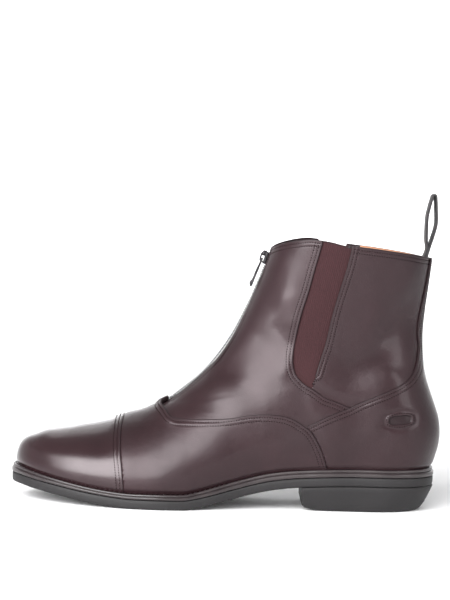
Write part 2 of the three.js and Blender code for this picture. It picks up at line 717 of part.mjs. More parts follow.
// The slider's own frame: x points out of the zip, z up along it, from the face's middle line.
const sliderRing = shareAtHeight(frontLine, COLLAR_FRONT - SLIDER_SET);
const sliderFoot = facePoint(sliderRing, 0);
const sliderOut = faceNormal(sliderRing, 0);
sliderOut.y = 0;
sliderOut.normalize();
const sliderSide = new THREE.Vector3(0, -1, 0);
const sliderUp = new THREE.Vector3().crossVectors(sliderOut, sliderSide);
const sliderFrame = new THREE.Matrix4()
  .makeBasis(sliderOut, sliderSide, sliderUp).setPosition(sliderFoot);
const PLATE_BACK = TEETH_RISE + GAP;
const PLATE_FACE = PLATE_BACK + PLATE_THICKNESS;
const PIN_LIFT = PLATE_FACE + PULL_THICKNESS / 2 + GAP;
const PIN_UP = -BRIDGE_LENGTH / 2 + BRIDGE_THICKNESS + PIN_RADIUS + GAP;

// A plate in the slider's frame from an outline in y and z, between two lifts.
function sliderPlate(outline, from, to) {
  const shape = new THREE.Shape(outline.map(([y, z]) => new THREE.Vector2(y, z)));
  const geometry = new THREE.ExtrudeGeometry(shape, { depth: to - from, bevelEnabled: false });
  geometry.applyMatrix4(new THREE.Matrix4().set(0, 0, 1, from, 1, 0, 0, 0, 0, 1, 0, 0, 0, 0, 0, 1));
  return geometry;
}

function makeSlider() {
  const [half, rise] = [SLIDER_WIDTH / 2, SLIDER_LENGTH / 2];
  const outline = [[-half * 0.75, -rise], [half * 0.75, -rise], [half * 0.86, rise * 0.1], [half, rise * 0.35],
    [half, rise * 0.8], [half * 0.8, rise], [-half * 0.8, rise], [-half, rise * 0.8], [-half, rise * 0.35],
    [-half * 0.86, rise * 0.1]];
  const body = solid(sliderPlate(outline, -TAPE_SINK + GAP, PLATE_FACE).applyMatrix4(sliderFrame));
  const [end, thick] = [BRIDGE_LENGTH / 2, BRIDGE_THICKNESS];
  const inner = PIN_LIFT + PIN_RADIUS + GAP;
  const arch = new THREE.Shape([[PLATE_FACE - thick / 2, -end], [inner, -end], [inner + thick, -end + thick],
    [inner + thick, end - thick], [inner, end], [PLATE_FACE - thick / 2, end], [PLATE_FACE - thick / 2, end - thick],
    [inner, end - 1.5 * thick], [inner, -end + thick], [PLATE_FACE - thick / 2, -end + thick]]
    .map(([x, z]) => new THREE.Vector2(x, z)));
  const bridge = new THREE.ExtrudeGeometry(arch, { depth: BRIDGE_WIDTH, bevelEnabled: false });
  bridge.rotateX(Math.PI / 2);
  bridge.translate(0, BRIDGE_WIDTH / 2, 0);
  return body.add(solid(bridge.applyMatrix4(sliderFrame)))
    .subtract(frontStrip(zipSection(GAP), ZIP_START, 1));
}

// The pull tab hangs on a pin under the bridge: two arms, an open eye and a plain rounded end.
const PIN_SIDES = 12;
const pullFrame = sliderFrame.clone()
  .multiply(new THREE.Matrix4().makeTranslation(PIN_LIFT, 0, PIN_UP))
  .multiply(new THREE.Matrix4().makeRotationY(THREE.MathUtils.degToRad(-PULL_REST_ANGLE)))
  .multiply(new THREE.Matrix4().makeTranslation(-PIN_LIFT, 0, -PIN_UP));
function makePull() {
  const [half, arm] = [PULL_WIDTH / 2, BRIDGE_WIDTH / 2 + GAP];
  const [low, eye, thick] = [PIN_UP - PULL_LENGTH, PIN_UP - PULL_EYE, PULL_THICKNESS / 2];
  const slab = (outline, from, to) => solid(sliderPlate(outline, from, to).applyMatrix4(pullFrame));
  const tab = slab([[-half * 0.7, eye], [-half * 0.62, low * 0.55], [-half, low + 5], [-half, low + 1.2],
    [-half * 0.6, low], [half * 0.6, low], [half, low + 1.2], [half, low + 5], [half * 0.62, low * 0.55],
    [half * 0.7, eye]], PIN_LIFT - thick, PIN_LIFT + thick);
  const arms = [-1, 1].map((side) => {
    const disc = new THREE.CylinderGeometry(thick, thick, half - arm, PIN_SIDES);
    disc.translate(PIN_LIFT, side * (half + arm) / 2, PIN_UP);
    const bar = slab([[side < 0 ? -half : arm, eye - 1], [side < 0 ? -arm : half, eye - 1],
      [side < 0 ? -arm : half, PIN_UP], [side < 0 ? -half : arm, PIN_UP]], PIN_LIFT - thick, PIN_LIFT + thick);
    return bar.add(solid(disc.applyMatrix4(pullFrame)));
  });
  const pin = new THREE.CylinderGeometry(PIN_RADIUS, PIN_RADIUS, 2 * arm + GAP, PIN_SIDES);
  pin.translate(PIN_LIFT, 0, PIN_UP);
  return tab.add(arms[0]).add(arms[1]).add(solid(pin.applyMatrix4(pullFrame)));
}

// The webbing loop stands up from a doubled tail that is sewn inside the collar's back.
const LOOP_STEPS = 22;
function makePullLoop() {
  const inner = (z) => backLine(shareAtHeight(backLine, z))[0] - WALL - GAP;
  const rim = COLLAR_BACK + LOOP_LEAN;
  const joint = [inner(COLLAR_BACK) - WEBBING_THICKNESS + 2 * LOOP_LEAN, rim + 4 * LOOP_LEAN / 1.6];
  const middle = Array.from({ length: LOOP_STEPS - 1 }, (_, i) => {
    const turn = Math.PI * (2 * (i + 1) / LOOP_STEPS - 1);
    const up = (1 + Math.cos(turn)) / 2;
    return [joint[0] - LOOP_OPENING / 2 * 1.22 * Math.sin(turn) * up ** 0.35,
      joint[1] + LOOP_HEIGHT * up];
  });
  const outside = shifted(middle, -WEBBING_THICKNESS / 2);
  const inside = shifted(middle.slice(2, -2), WEBBING_THICKNESS / 2);
  const [from, to] = [-WEBBING_WIDTH / 2, WEBBING_WIDTH / 2];
  const ring = sidePrism(outside, from, to).subtract(sidePrism(inside, from - 1, to + 1));
  const foot = COLLAR_BACK - LOOP_TAIL;
  const thick = 2 * WEBBING_THICKNESS;
  const tail = sidePrism([[inner(foot) - thick, foot], [inner(foot), foot], [inner(COLLAR_BACK), rim],
    [inner(COLLAR_BACK) - thick, rim]], from, to).intersect(form(-WALL - GAP, INNER_RINGS, INNER_SIDES));
  const neck = sidePrism([[inner(COLLAR_BACK) - thick, rim - 0.5], [inner(COLLAR_BACK) - 0.5, rim - 0.5],
    [joint[0] + WEBBING_THICKNESS * 0.8, joint[1] + 2], [joint[0] - WEBBING_THICKNESS * 0.8, joint[1] + 2]], from, to);
  return ring.add(tail).add(neck);
}

const leather = new THREE.MeshStandardMaterial({ color: 0x3a2a2c, roughness: 0.36, metalness: 0 });
const elastic = new THREE.MeshStandardMaterial({ color: 0x45292a, roughness: 0.9, metalness: 0 });
const rubber = new THREE.MeshStandardMaterial({ color: 0x3c3a3c, roughness: 0.7, metalness: 0 });
const weltLeather = new THREE.MeshStandardMaterial({ color: 0x2b2122, roughness: 0.55, metalness: 0 });
const lining = new THREE.MeshStandardMaterial({ color: 0x8f5d40, roughness: 0.8, metalness: 0 });
const gunmetal = new THREE.MeshStandardMaterial({ color: 0x2c2a2b, roughness: 0.32, metalness: 0.9 });
const zipTape = new THREE.MeshStandardMaterial({ color: 0x241c1d, roughness: 0.7, metalness: 0 });
const webbing = new THREE.MeshStandardMaterial({ color: 0x141213, roughness: 0.85, metalness: 0 });

const boot = new THREE.Group();

function piece(name, body, material) {
  const { numProp, vertProperties, triVerts } = body.getMesh();
  const geometry = new THREE.BufferGeometry();
  const positions = Array.from(vertProperties).filter((_, i) => i % numProp < 3);
  geometry.setAttribute("position", new THREE.Float32BufferAttribute(positions, 3));
  geometry.setIndex(Array.from(triVerts));
  geometry.computeVertexNormals();
  const mesh = new THREE.Mesh(geometry, material);
  mesh.name = name;
  boot.add(mesh);
}

piece("upper", makeUpper(), leather);
piece("toe_cap", makeToeCap(), leather);
piece("vamp", makeVamp(), leather);
piece("counter", makeCounter(), leather);
piece("gore_lateral", makeGore(-1), elastic);
piece("gore_medial", makeGore(1), elastic);
piece("welt", makeWelt(), weltLeather);
piece("outsole", makeOutsole(), rubber);
piece("heel", makeHeel(), rubber);
piece("insole", makeInsole(), lining);
piece("zip_chain", makeZipChain(), zipTape);
piece("zip_slider", makeSlider(), gunmetal);
piece("zip_pull", makePull(), gunmetal);
piece("pull_loop", makePullLoop(), webbing);

export default boot;
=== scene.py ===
"""Dresses a packed left jodhpur boot: leather panels, seams, elastic, zip, pull loop and sole.

Lengths in the tables and in the shape functions are millimetres; the toe points along -X, the
outer side faces -Y, and the origin is the centre of the heel's tread on the floor.
"""
import math

import bmesh
import bpy
import numpy as np
from mathutils import Matrix, Vector


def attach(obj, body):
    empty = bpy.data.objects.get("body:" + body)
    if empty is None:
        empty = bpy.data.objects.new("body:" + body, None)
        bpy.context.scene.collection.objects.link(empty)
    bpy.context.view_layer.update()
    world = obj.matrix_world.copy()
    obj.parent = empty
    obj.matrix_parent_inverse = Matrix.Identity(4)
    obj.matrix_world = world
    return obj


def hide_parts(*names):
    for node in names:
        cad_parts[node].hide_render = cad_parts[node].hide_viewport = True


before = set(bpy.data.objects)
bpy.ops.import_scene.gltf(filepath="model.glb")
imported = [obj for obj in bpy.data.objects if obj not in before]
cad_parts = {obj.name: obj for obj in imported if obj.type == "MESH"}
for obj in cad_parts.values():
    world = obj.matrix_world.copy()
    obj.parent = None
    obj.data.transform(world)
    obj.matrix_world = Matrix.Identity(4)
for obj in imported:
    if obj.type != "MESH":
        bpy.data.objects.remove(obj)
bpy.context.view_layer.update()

bl_info = {
    "name": "Jodhpur boot",
    "version": (1, 0, 0),
    "blender": (4, 5, 0),
    "location": "3D View > Sidebar > Boot",
    "description": "Builds a zip jodhpur boot with leather panels, elastic gores and a welted sole",
    "category": "Object",
}

MM = 0.001

LAST_LENGTH = 284
HEEL_SET = 51.5
BALL_WIDTH = 97
SEAT_WIDTH = 66
WAIST_WIDTH = 70
INSTEP_HEIGHT = 58.5
ANKLE_WIDTH = 66
COLLAR_WIDTH = 80
THROAT_SET = 65
SHAFT_RISE = 101
BACK_HEIGHT = 141
HEEL_CURVE = 13.6
HEEL_HEIGHT = 17.1
TOE_SPRING = 10.2
OUTSOLE_THICKNESS = 6.4
WELT_THICKNESS = 5.2
WELT_REACH = 4.6
SEAT_REACH = 2.9
WELT_STEP = 0.9
HEEL_LENGTH = 92
HEEL_TAPER = 3.6
HEEL_SLANT = 9.2
WALL = 2.4
GAP = 0.3
FORM_OVERRUN = 16
TUCK_HEIGHT = 24
SAG_RINGS = 0.5
SLOT_WIDTH = 11
BACK_STAY_WIDTH = 19
TOE_X = HEEL_SET - LAST_LENGTH
SEAT_HEIGHT = HEEL_HEIGHT + OUTSOLE_THICKNESS + WELT_THICKNESS
TOTAL_HEIGHT = SEAT_HEIGHT + BACK_HEIGHT


def table(names, rows):
    """A short table as one array for each named column."""
    return dict(zip(names.split(), np.array(rows, float).T))


SOLE_LINE = table("along spring lift welt", [
    (-0.03, 1.02, 0, 1.08), (0.006, 1, 0, 1.05), (0.036, 0.87, 0, 0.95), (0.092, 0.63, 0, 0.8),
    (0.15, 0.38, 0, 0.74), (0.205, 0.17, 0, 0.7), (0.25, 0.05, 0, 0.7), (0.28, 0, 0, 0.72),
    (0.4, 0, 0, 0.76), (0.424, 0, 0.06, 0.82), (0.452, 0, 0.155, 0.9), (0.49, 0, 0.32, 0.98),
    (0.526, 0, 0.48, 1), (0.563, 0, 0.64, 1), (0.6, 0, 0.775, 1), (0.638, 0, 0.865, 1),
    (0.676, 0, 0.92, 1), (0.73, 0, 0.97, 1), (0.79, 0, 1, 1), (0.91, 0, 1, 1.04), (1.03, 0, 1, 1.16),
])

PLAN_LINE = table("along half waist seat swing tuck", [
    (0, 0.39, 0, 0, 0.05, 0.02), (0.1, 0.43, 0, 0, 0.045, 0.03), (0.2, 0.478, 0, 0, 0.02, 0.04),
    (0.28, 0.498, 0, 0, -0.006, 0.04), (0.36, 0.497, 0, 0, -0.025, 0.05),
    (0.46, 0.476, 0.28, 0, -0.04, 0.075), (0.58, 0.44, 0.85, 0, -0.044, 0.11),
    (0.7, 0.42, 0.5, 0.5, -0.03, 0.09), (0.82, 0.4, 0, 1, -0.01, 0.06), (1, 0.4, 0, 1, 0, 0.05),
])

VAMP_LINE = table("along rise", [
    (0, 0), (0.0005, 0.075), (0.0035, 0.155), (0.0105, 0.238), (0.0215, 0.297), (0.04, 0.358),
    (0.068, 0.437), (0.106, 0.505), (0.145, 0.58), (0.183, 0.645), (0.22, 0.713), (0.258, 0.808),
    (0.296, 0.868), (0.333, 0.953), (0.3535, 1),
])

SHAFT_LINE = table("set rise", [
    (0.165, 0.084), (0.33, 0.174), (0.492, 0.296), (0.65, 0.452), (0.79, 0.64), (0.9, 0.812),
    (0.962, 0.918), (1, 1),
])

BACK_LINE = table("bulge rise", [
    (0.64, 0), (0.8, 0.05), (0.95, 0.105), (1, 0.165), (0.91, 0.235), (0.72, 0.29), (0.43, 0.365),
    (0.18, 0.44), (0.045, 0.515), (0, 0.585), (0, 0.66), (0.06, 0.74), (0.165, 0.835), (0.27, 0.93),
    (0.34, 1),
])

SHAFT_WIDTHS = table("ring collar power", [
    (0.4, 0.1, 1.9), (0.6, 0, 1.95), (0.72, 0.16, 2.05), (0.86, 0.62, 2.15), (1, 1, 2.2),
])

ARCH_FULLNESS = table("along power root", [
    (0, 2.5, 2.1), (0.15, 2.25, 2.0), (0.35, 1.9, 1.9), (0.6, 1.7, 1.8),
])

CAP_SEAM = table("along up", [
    (0.262, 0.42), (0.2535, 0.345), (0.249, 0.3), (0.2505, 0.22), (0.2565, 0.14), (0.266, 0),
])

VAMP_SEAM = table("along up", [
    (0.318, 0.44), (0.3375, 0.394), (0.352, 0.37), (0.3665, 0.349), (0.4, 0.347), (0.45, 0.351),
    (0.5, 0.357), (0.545, 0.371), (0.585, 0.377), (0.622, 0.374), (0.65, 0.361), (0.672, 0.34),
    (0.691, 0.317), (0.708, 0.275), (0.722, 0.225), (0.736, 0.15), (0.745, 0.05),
])

COUNTER_SEAM = table("along up", [
    (0.68, 0.335), (0.695, 0.345), (0.727, 0.373), (0.757, 0.395), (0.78, 0.41), (0.81, 0.435),
    (0.843, 0.459), (0.876, 0.484), (0.904, 0.508), (0.922, 0.532), (0.933, 0.562), (0.9395, 0.598),
    (0.9435, 0.645), (0.947, 0.7),
])

GORE_FRONT = table("along up", [
    (0.712, 1.12), (0.703, 1.04), (0.688, 0.94), (0.677, 0.862), (0.664, 0.785), (0.655, 0.718),
    (0.648, 0.652), (0.6455, 0.61), (0.646, 0.575), (0.652, 0.54), (0.664, 0.514), (0.68, 0.493),
    (0.6935, 0.481),
])

GORE_REAR = table("along up", [
    (0.7, 0.54), (0.71, 0.6), (0.7195, 0.655), (0.733, 0.768), (0.7445, 0.845), (0.762, 0.952),
    (0.774, 1.042), (0.784, 1.12),
])

COLLAR_EDGE = table("along up", [
    (0.5, 0.97), (0.5775, 1.008), (0.5875, 1.026), (0.598, 1.037), (0.61, 1.045), (0.63, 1.054),
    (0.655, 1.062), (0.68, 1.066), (0.705, 1.062), (0.74, 1.056), (0.775, 1.046), (0.84, 1.035),
    (0.91, 1.02), (0.97, 1.004), (1.03, 0.992),
])

# The front quarter's edge runs on from the foot of the elastic over the rear quarter.
TAIL_EDGE = table("along up", [
    (0.7065, 0.4665), (0.724, 0.448), (0.7514, 0.4325), (0.775, 0.4166), (0.81, 0.396),
])


def mix(a, b, share):
    return a + (b - a) * share


def smooth(low, high, at):
    share = np.clip((at - low) / (high - low), 0, 1)
    return share * share * (3 - 2 * share)


def hump(at, width):
    """A soft bump of height 1 where at is 0."""
    return np.exp(-((at / width) ** 2))


class Curve:
    """A smooth curve through rows of numbers, read by the knot value."""

    def __init__(self, knots, *columns):
        self.knots = np.asarray(knots, float)
        self.rows = np.stack([np.asarray(c, float) for c in columns], 1)
        before = np.maximum(0, np.arange(len(self.knots)) - 1)
        after = np.minimum(len(self.knots) - 1, np.arange(len(self.knots)) + 1)
        spans = (self.knots[after] - self.knots[before])[:, None]
        self.slopes = (self.rows[after] - self.rows[before]) / spans

    def __call__(self, at):
        at = np.asarray(at, float)
        i = np.searchsorted(self.knots[1:-1], at, side="left")
        span = (self.knots[i + 1] - self.knots[i])[..., None]
        s = np.clip((at - self.knots[i])[..., None] / span, 0, 1)
        rows = (1 + 2 * s) * (1 - s) ** 2 * self.rows[i] + s * s * (3 - 2 * s) * self.rows[i + 1]
        slopes = s * (1 - s) ** 2 * self.slopes[i] + s * s * (s - 1) * self.slopes[i + 1]
        return np.moveaxis(rows + span * slopes, -1, 0)


def line_through(x, z):
    """A curve through points of the side view, read by the share of its length."""
    lengths = np.concatenate([[0], np.cumsum(np.hypot(np.diff(x), np.diff(z)))])
    return Curve(lengths / lengths[-1], x, z)


def share_along(x):
    return (x - TOE_X) / LAST_LENGTH


def x_along(share):
    return TOE_X + share * LAST_LENGTH


SOLE = Curve(*SOLE_LINE.values())
PLAN = Curve(*PLAN_LINE.values())
ARCH = Curve(*ARCH_FULLNESS.values())
WIDTHS = Curve(*SHAFT_WIDTHS.values())


def sole_layers(x):
    """Heights of the tread, of the groove over the outsole and of the feather line."""
    spring, lift, welt = SOLE(share_along(x))
    bottom = np.maximum(0, spring * TOE_SPRING + lift * HEEL_HEIGHT)
    groove = bottom + OUTSOLE_THICKNESS
    return bottom, groove, groove + welt * WELT_THICKNESS


def feather(x):
    return sole_layers(x)[2]


def overrun(x, z):
    share = FORM_OVERRUN / (z[-1] - z[-2])
    return np.append(x, x[-1] + (x[-1] - x[-2]) * share), np.append(z, z[-1] + FORM_OVERRUN)


def middle_lines():
    """The front's and the back's middle lines in the side view."""
    vamp_x = x_along(VAMP_LINE["along"])
    vamp_z = feather(vamp_x) + VAMP_LINE["rise"] * INSTEP_HEIGHT
    shaft_x = vamp_x[-1] + SHAFT_LINE["set"] * THROAT_SET
    shaft_z = vamp_z[-1] + SHAFT_LINE["rise"] * SHAFT_RISE
    front = overrun(np.append(vamp_x, shaft_x), np.append(vamp_z, shaft_z))
    back_x = HEEL_SET - HEEL_CURVE * (1 - BACK_LINE["bulge"])
    back_z = feather(np.array(HEEL_SET)) + BACK_LINE["rise"] * BACK_HEIGHT
    return line_through(*front), line_through(*overrun(back_x, back_z)), (vamp_x[-1], vamp_z[-1])


FRONT_MIDDLE, BACK_MIDDLE, THROAT = middle_lines()
TOP_SAMPLES = FRONT_MIDDLE(np.linspace(0, 1, 161))
STEEP = 4


def top_height(x):
    """Height of the middle line over x; behind the shaft's front it runs on steeply."""
    top_x, top_z = TOP_SAMPLES
    return np.interp(x, top_x, top_z) + np.maximum(0, x - top_x[-1]) * STEEP


def end_round(along):
    """The closing of an outline at the toe and at the heel."""
    toe, toe_power, heel, heel_power = 0.2, 2.15, 0.13, 2.2
    front = np.clip(1 - np.clip(along / toe, 0, None), 0, None)
    back = np.clip(1 - np.clip((1 - along) / heel, 0, None), 0, None)
    return (1 - front ** toe_power) ** (1 / toe_power) * (1 - back ** heel_power) ** (1 / heel_power)


def plan_width(along):
    half, waist, seat, swing, tuck = PLAN(along)
    ball = np.maximum(0, 1 - waist - seat)
    width = half * ball * BALL_WIDTH + (waist * WAIST_WIDTH + seat * SEAT_WIDTH) / 2
    return width * end_round(along), swing * BALL_WIDTH, tuck


def side_place(ring, across):
    """Where a ring of the form lies in the side view at a share of its depth."""
    front, back = FRONT_MIDDLE(ring), BACK_MIDDLE(ring)
    (toe_x, toe_z), (seat_x, seat_z) = FRONT_MIDDLE(0.0), BACK_MIDDLE(0.0)
    sag = mix(toe_z, seat_z, across) - feather(mix(toe_x, seat_x, across))
    x = mix(front[0], back[0], across)
    z = mix(front[1], back[1], across) - sag * (1 - smooth(0, SAG_RINGS, ring))
    return x, z, back[0]


def face_point(ring, turn):
    """A point of the upper's face: ring 0 is the feather line, ring 1 the top of the form, and
    turn runs from the front over the outer side to the back."""
    across = (1 - np.cos(turn)) / 2
    x, z, back_x = side_place(ring, across)
    low = feather(x)
    half, swing, tuck = plan_width((x - TOE_X) / (back_x - TOE_X))
    height = np.clip((z - low) / np.maximum(0.5, top_height(x) - low), 0, 1)
    power, root = ARCH(np.minimum(0.6, share_along(x)))
    tucked = 1 - tuck * (1 - np.clip((z - low) / TUCK_HEIGHT, 0, 1)) ** 2
    foot = half * tucked * (1 - height ** power) ** (1 / root)
    collar, oval = WIDTHS(np.maximum(SHAFT_WIDTHS["ring"][0], ring))
    shaft = mix(ANKLE_WIDTH, COLLAR_WIDTH, collar) / 2
    shaft = shaft * (1 - np.abs(np.cos(turn)) ** oval) ** (1 / oval)
    share = smooth(0.36, 0.66, ring)
    y = swing * (1 - share) - np.sign(np.sin(turn)) * mix(foot, shaft, share)
    return np.stack([x, y, z], -1)


def unit(vectors):
    return vectors / np.maximum(1e-9, np.linalg.norm(vectors, axis=-1, keepdims=True))


def face_normal(ring, turn):
    step, swivel, level_rings = 0.004, 0.02, 0.03
    up = face_point(np.minimum(1, ring + step), turn) - face_point(np.maximum(0, ring - step), turn)
    round_ = face_point(ring, turn + swivel) - face_point(ring, turn - swivel)
    normal = np.cross(round_, up)
    normal[..., 2] *= np.minimum(1, ring / level_rings)
    return unit(normal)


def on_face(x, z, side):
    """The face's point and outward normal at places of the side view, on one side of the boot."""
    x, z = np.broadcast_arrays(np.asarray(x, float), np.asarray(z, float))
    low, high = np.zeros(x.shape), np.ones(x.shape)
    across = np.zeros(x.shape)
    for _ in range(36):
        ring = (low + high) / 2
        front_x, back_x = FRONT_MIDDLE(ring)[0], BACK_MIDDLE(ring)[0]
        across = np.clip((x - front_x) / (back_x - front_x), 0, 1)
        under = side_place(ring, across)[1] < z
        low, high = np.where(under, ring, low), np.where(under, high, ring)
    turn = np.arccos(1 - 2 * across)
    turn = np.where(side < 0, turn, 2 * np.pi - turn)
    return face_point(ring, turn), face_normal(ring, turn)


def ring_at_height(line, height):
    low, high = 0.0, 1.0
    for _ in range(36):
        middle = (low + high) / 2
        if line(middle)[1] < height:
            low = middle
        else:
            high = middle
    return (low + high) / 2


def collar_height(x):
    return Curve(COLLAR_EDGE["along"], COLLAR_EDGE["up"])(share_along(x))[0] * TOTAL_HEIGHT


def seam_line(*tables, step=1.4):
    """The points of a seam in the side view, close together."""
    x = x_along(np.concatenate([t["along"] for t in tables]))
    z = np.concatenate([t["up"] for t in tables]) * TOTAL_HEIGHT
    count = int(np.hypot(np.diff(x), np.diff(z)).sum() / step)
    return np.stack(line_through(x, z)(np.linspace(0, 1, count)), 1)


def signed_distance(line, x, z):
    """Distance from a line of the side view, positive on its left."""
    start, run = line[:-1], np.diff(line, axis=0)
    length = (run ** 2).sum(1)
    best = np.full(len(x), np.inf)
    sign = np.ones(len(x))
    for (x0, z0), (dx, dz), square in zip(start, run, length):
        px, pz = x - x0, z - z0
        share = np.clip((px * dx + pz * dz) / square, 0, 1)
        away = (px - share * dx) ** 2 + (pz - share * dz) ** 2
        nearer = away < best
        best = np.where(nearer, away, best)
        sign = np.where(nearer, np.where(dx * pz - dz * px < 0, -1, 1), sign)
    return np.sqrt(best) * sign


def oval_distance(x, z):
    """Distance outside the pressed oval's edge, negative within it."""
    centre_x, centre_z, half_long, half_high, tilt, power = 23.2, 62.5, 7.4, 3.0, 5.0, 3.6
    turn = math.radians(tilt)
    u = (x - centre_x) * math.cos(turn) + (z - centre_z) * math.sin(turn)
    v = (z - centre_z) * math.cos(turn) - (x - centre_x) * math.sin(turn)
    grown = (np.abs(u / half_long) ** power + np.abs(v / half_high) ** power) ** (1 / power)
    reach = np.hypot(u, v) / np.maximum(grown, 1e-6)
    return (grown - 1) * reach


class Sheet:
    """A sheet of triangles; each named column holds a value for every corner, kept by a cut."""

    SNAP = 0.04

    def __init__(self, columns, triangles):
        self.columns = columns
        self.triangles = triangles

    def __getitem__(self, name):
        return self.columns[name]

    def compact(self, triangles):
        used, triangles = np.unique(triangles, return_inverse=True)
        columns = {name: values[used] for name, values in self.columns.items()}
        return Sheet(columns, triangles.reshape(-1, 3))

    def crossings(self, edges, values):
        """Adds one corner on each edge where the values change sign; gives their numbers."""
        ends, which = np.unique(np.sort(edges, 1), axis=0, return_inverse=True)
        a, b = ends.T
        share = values[a] / (values[a] - values[b])
        first = len(values)
        for name, column in self.columns.items():
            part = share if column.ndim == 1 else share[:, None]
            self.columns[name] = np.concatenate([column, mix(column[a], column[b], part)])
        return first + which.reshape(-1)

    def cut(self, field, level=0.0, keep_low=False):
        """Splits the triangles along field = level, and drops those under it unless told not to."""
        values = self.columns[field] - level
        values[np.abs(values) < self.SNAP] = 0
        signs = np.sign(values)[self.triangles]
        low, high = (signs < 0).any(1), (signs > 0).any(1)
        kept = [self.triangles[~(low & high) & (high | keep_low)]]
        crossing, signs = self.triangles[low & high], signs[low & high]
        if len(crossing):
            on_line = (signs == 0).any(1)
            lone = np.where((signs > 0).sum(1) == 1, 1, -1)
            first = np.where(on_line, (signs == 0).argmax(1), (signs == lone[:, None]).argmax(1))
            order = (first[:, None] + np.arange(3)) % 3
            crossing = np.take_along_axis(crossing, order, 1)
            signs = np.take_along_axis(signs, order, 1)
            a, b, c = crossing[on_line].T
            split = Sheet(dict(self.columns), self.triangles)
            edges = np.concatenate([
                np.stack([b, c], 1), crossing[~on_line][:, [0, 1]], crossing[~on_line][:, [0, 2]],
            ])
            made = split.crossings(edges, values)
            count, lone_count = len(a), int((~on_line).sum())
            m, m1, m2 = np.split(made, [count, count + lone_count])
            la, lb, lc = crossing[~on_line].T
            pieces = [(a, b, m, signs[on_line][:, 1]), (a, m, c, signs[on_line][:, 2]),
                      (la, m1, m2, signs[~on_line][:, 0]), (m1, lb, lc, signs[~on_line][:, 1]),
                      (m1, lc, m2, signs[~on_line][:, 1])]
            for i, j, k, sign in pieces:
                wanted = (sign > 0) | keep_low
                kept.append(np.stack([i, j, k], 1)[wanted])
            return split.compact(np.concatenate(kept))
        return self.compact(kept[0])

    def contour(self, field, level, within=None):
        """The lines field = level as chains of corners, where the field named within is positive."""
        values = self.columns[field] - level
        values = np.where(values == 0, 1e-9, values)
        sides = values[self.triangles] > 0
        crossed = sides.any(1) & ~sides.all(1)
        if within:
            crossed &= (self.columns[within][self.triangles] > 0).all(1)
        triangles, sides = self.triangles[crossed], sides[crossed]
        edges = triangles[:, [[0, 1], [1, 2], [2, 0]]]
        changes = sides != np.roll(sides, -1, axis=1)
        crossed_edges = edges[changes]
        split = Sheet(dict(self.columns), self.triangles)
        nodes = split.crossings(crossed_edges, values).reshape(-1, 2)
        return split, chains(nodes)

    def border(self):
        """The directed edges that only one triangle uses."""
        edges = self.triangles[:, [[0, 1], [1, 2], [2, 0]]].reshape(-1, 2)
        _, which, count = np.unique(np.sort(edges, 1), axis=0, return_inverse=True, return_counts=True)
        return edges[count[which.reshape(-1)] == 1]


def chains(links):
    """Links between numbered nodes, joined end to end."""
    near = {}
    for a, b in links.tolist():
        near.setdefault(a, []).append(b)
        near.setdefault(b, []).append(a)
    found, seen = [], set()
    ends = [n for n, others in near.items() if len(others) == 1]
    for start in ends + list(near):
        if start in seen:
            continue
        chain, node = [], start
        while node is not None:
            chain.append(node)
            seen.add(node)
            node = next((n for n in near[node] if n not in seen), None)
        if len(chain) > 2 and chain[0] in near[chain[-1]]:
            chain.append(chain[0])
        found.append(chain)
    return [c for c in found if len(c) > 3]


def grid_triangles(rows, columns, closed=True):
    """The triangles of a grid of corners, joined across its last column if closed."""
    i = np.arange(rows - 1)[:, None] * columns
    j = np.arange(columns if closed else columns - 1)
    k = (j + 1) % columns
    a, b, c, d = i + j, i + k, i + columns + k, i + columns + j
    return np.concatenate([np.stack([a, b, c], -1).reshape(-1, 3), np.stack([a, c, d], -1).reshape(-1, 3)])


def skin(rings, turns, power=1.2):
    """The whole face as one sheet, with its distance from every seam."""
    ring = np.repeat((np.arange(rings + 1) / rings) ** power, turns)
    turn = np.tile(np.arange(turns) * 2 * np.pi / turns, rings + 1)
    point, normal = face_point(ring, turn), face_normal(ring, turn)
    x, y, z = point.T
    middle = face_point(ring, np.zeros_like(ring))[:, 1]
    front_edge = seam_line(GORE_FRONT, TAIL_EDGE)
    columns = {
        "point": point, "normal": normal, "y": y, "z": z, "x": x,
        "front": np.cos(turn), "aside": y - middle, "over_feather": z - feather(x),
        "behind_cap": signed_distance(seam_line(CAP_SEAM), x, z),
        "over_vamp": signed_distance(seam_line(VAMP_SEAM), x, z),
        "over_counter": signed_distance(seam_line(COUNTER_SEAM), x, z),
        "behind_front": signed_distance(front_edge, x, z),
        "before_rear": signed_distance(seam_line(GORE_REAR), x, z),
        "under_collar": collar_height(x) - z,
        "oval": oval_distance(x, z),
    }
    return Sheet(columns, grid_triangles(rings + 1, turns))


# The names of the material slots and of the bodies that pieces ride on.
LEATHER, ELASTIC, WELT, RUBBER = "leather", "elastic", "welt", "sole_rubber"
LINING, ZIP_TAPE, ZIP_METAL, WEBBING = "lining", "zip_tape", "zip_metal", "webbing"
BOOT, PULL = "boot", "zip_pull"

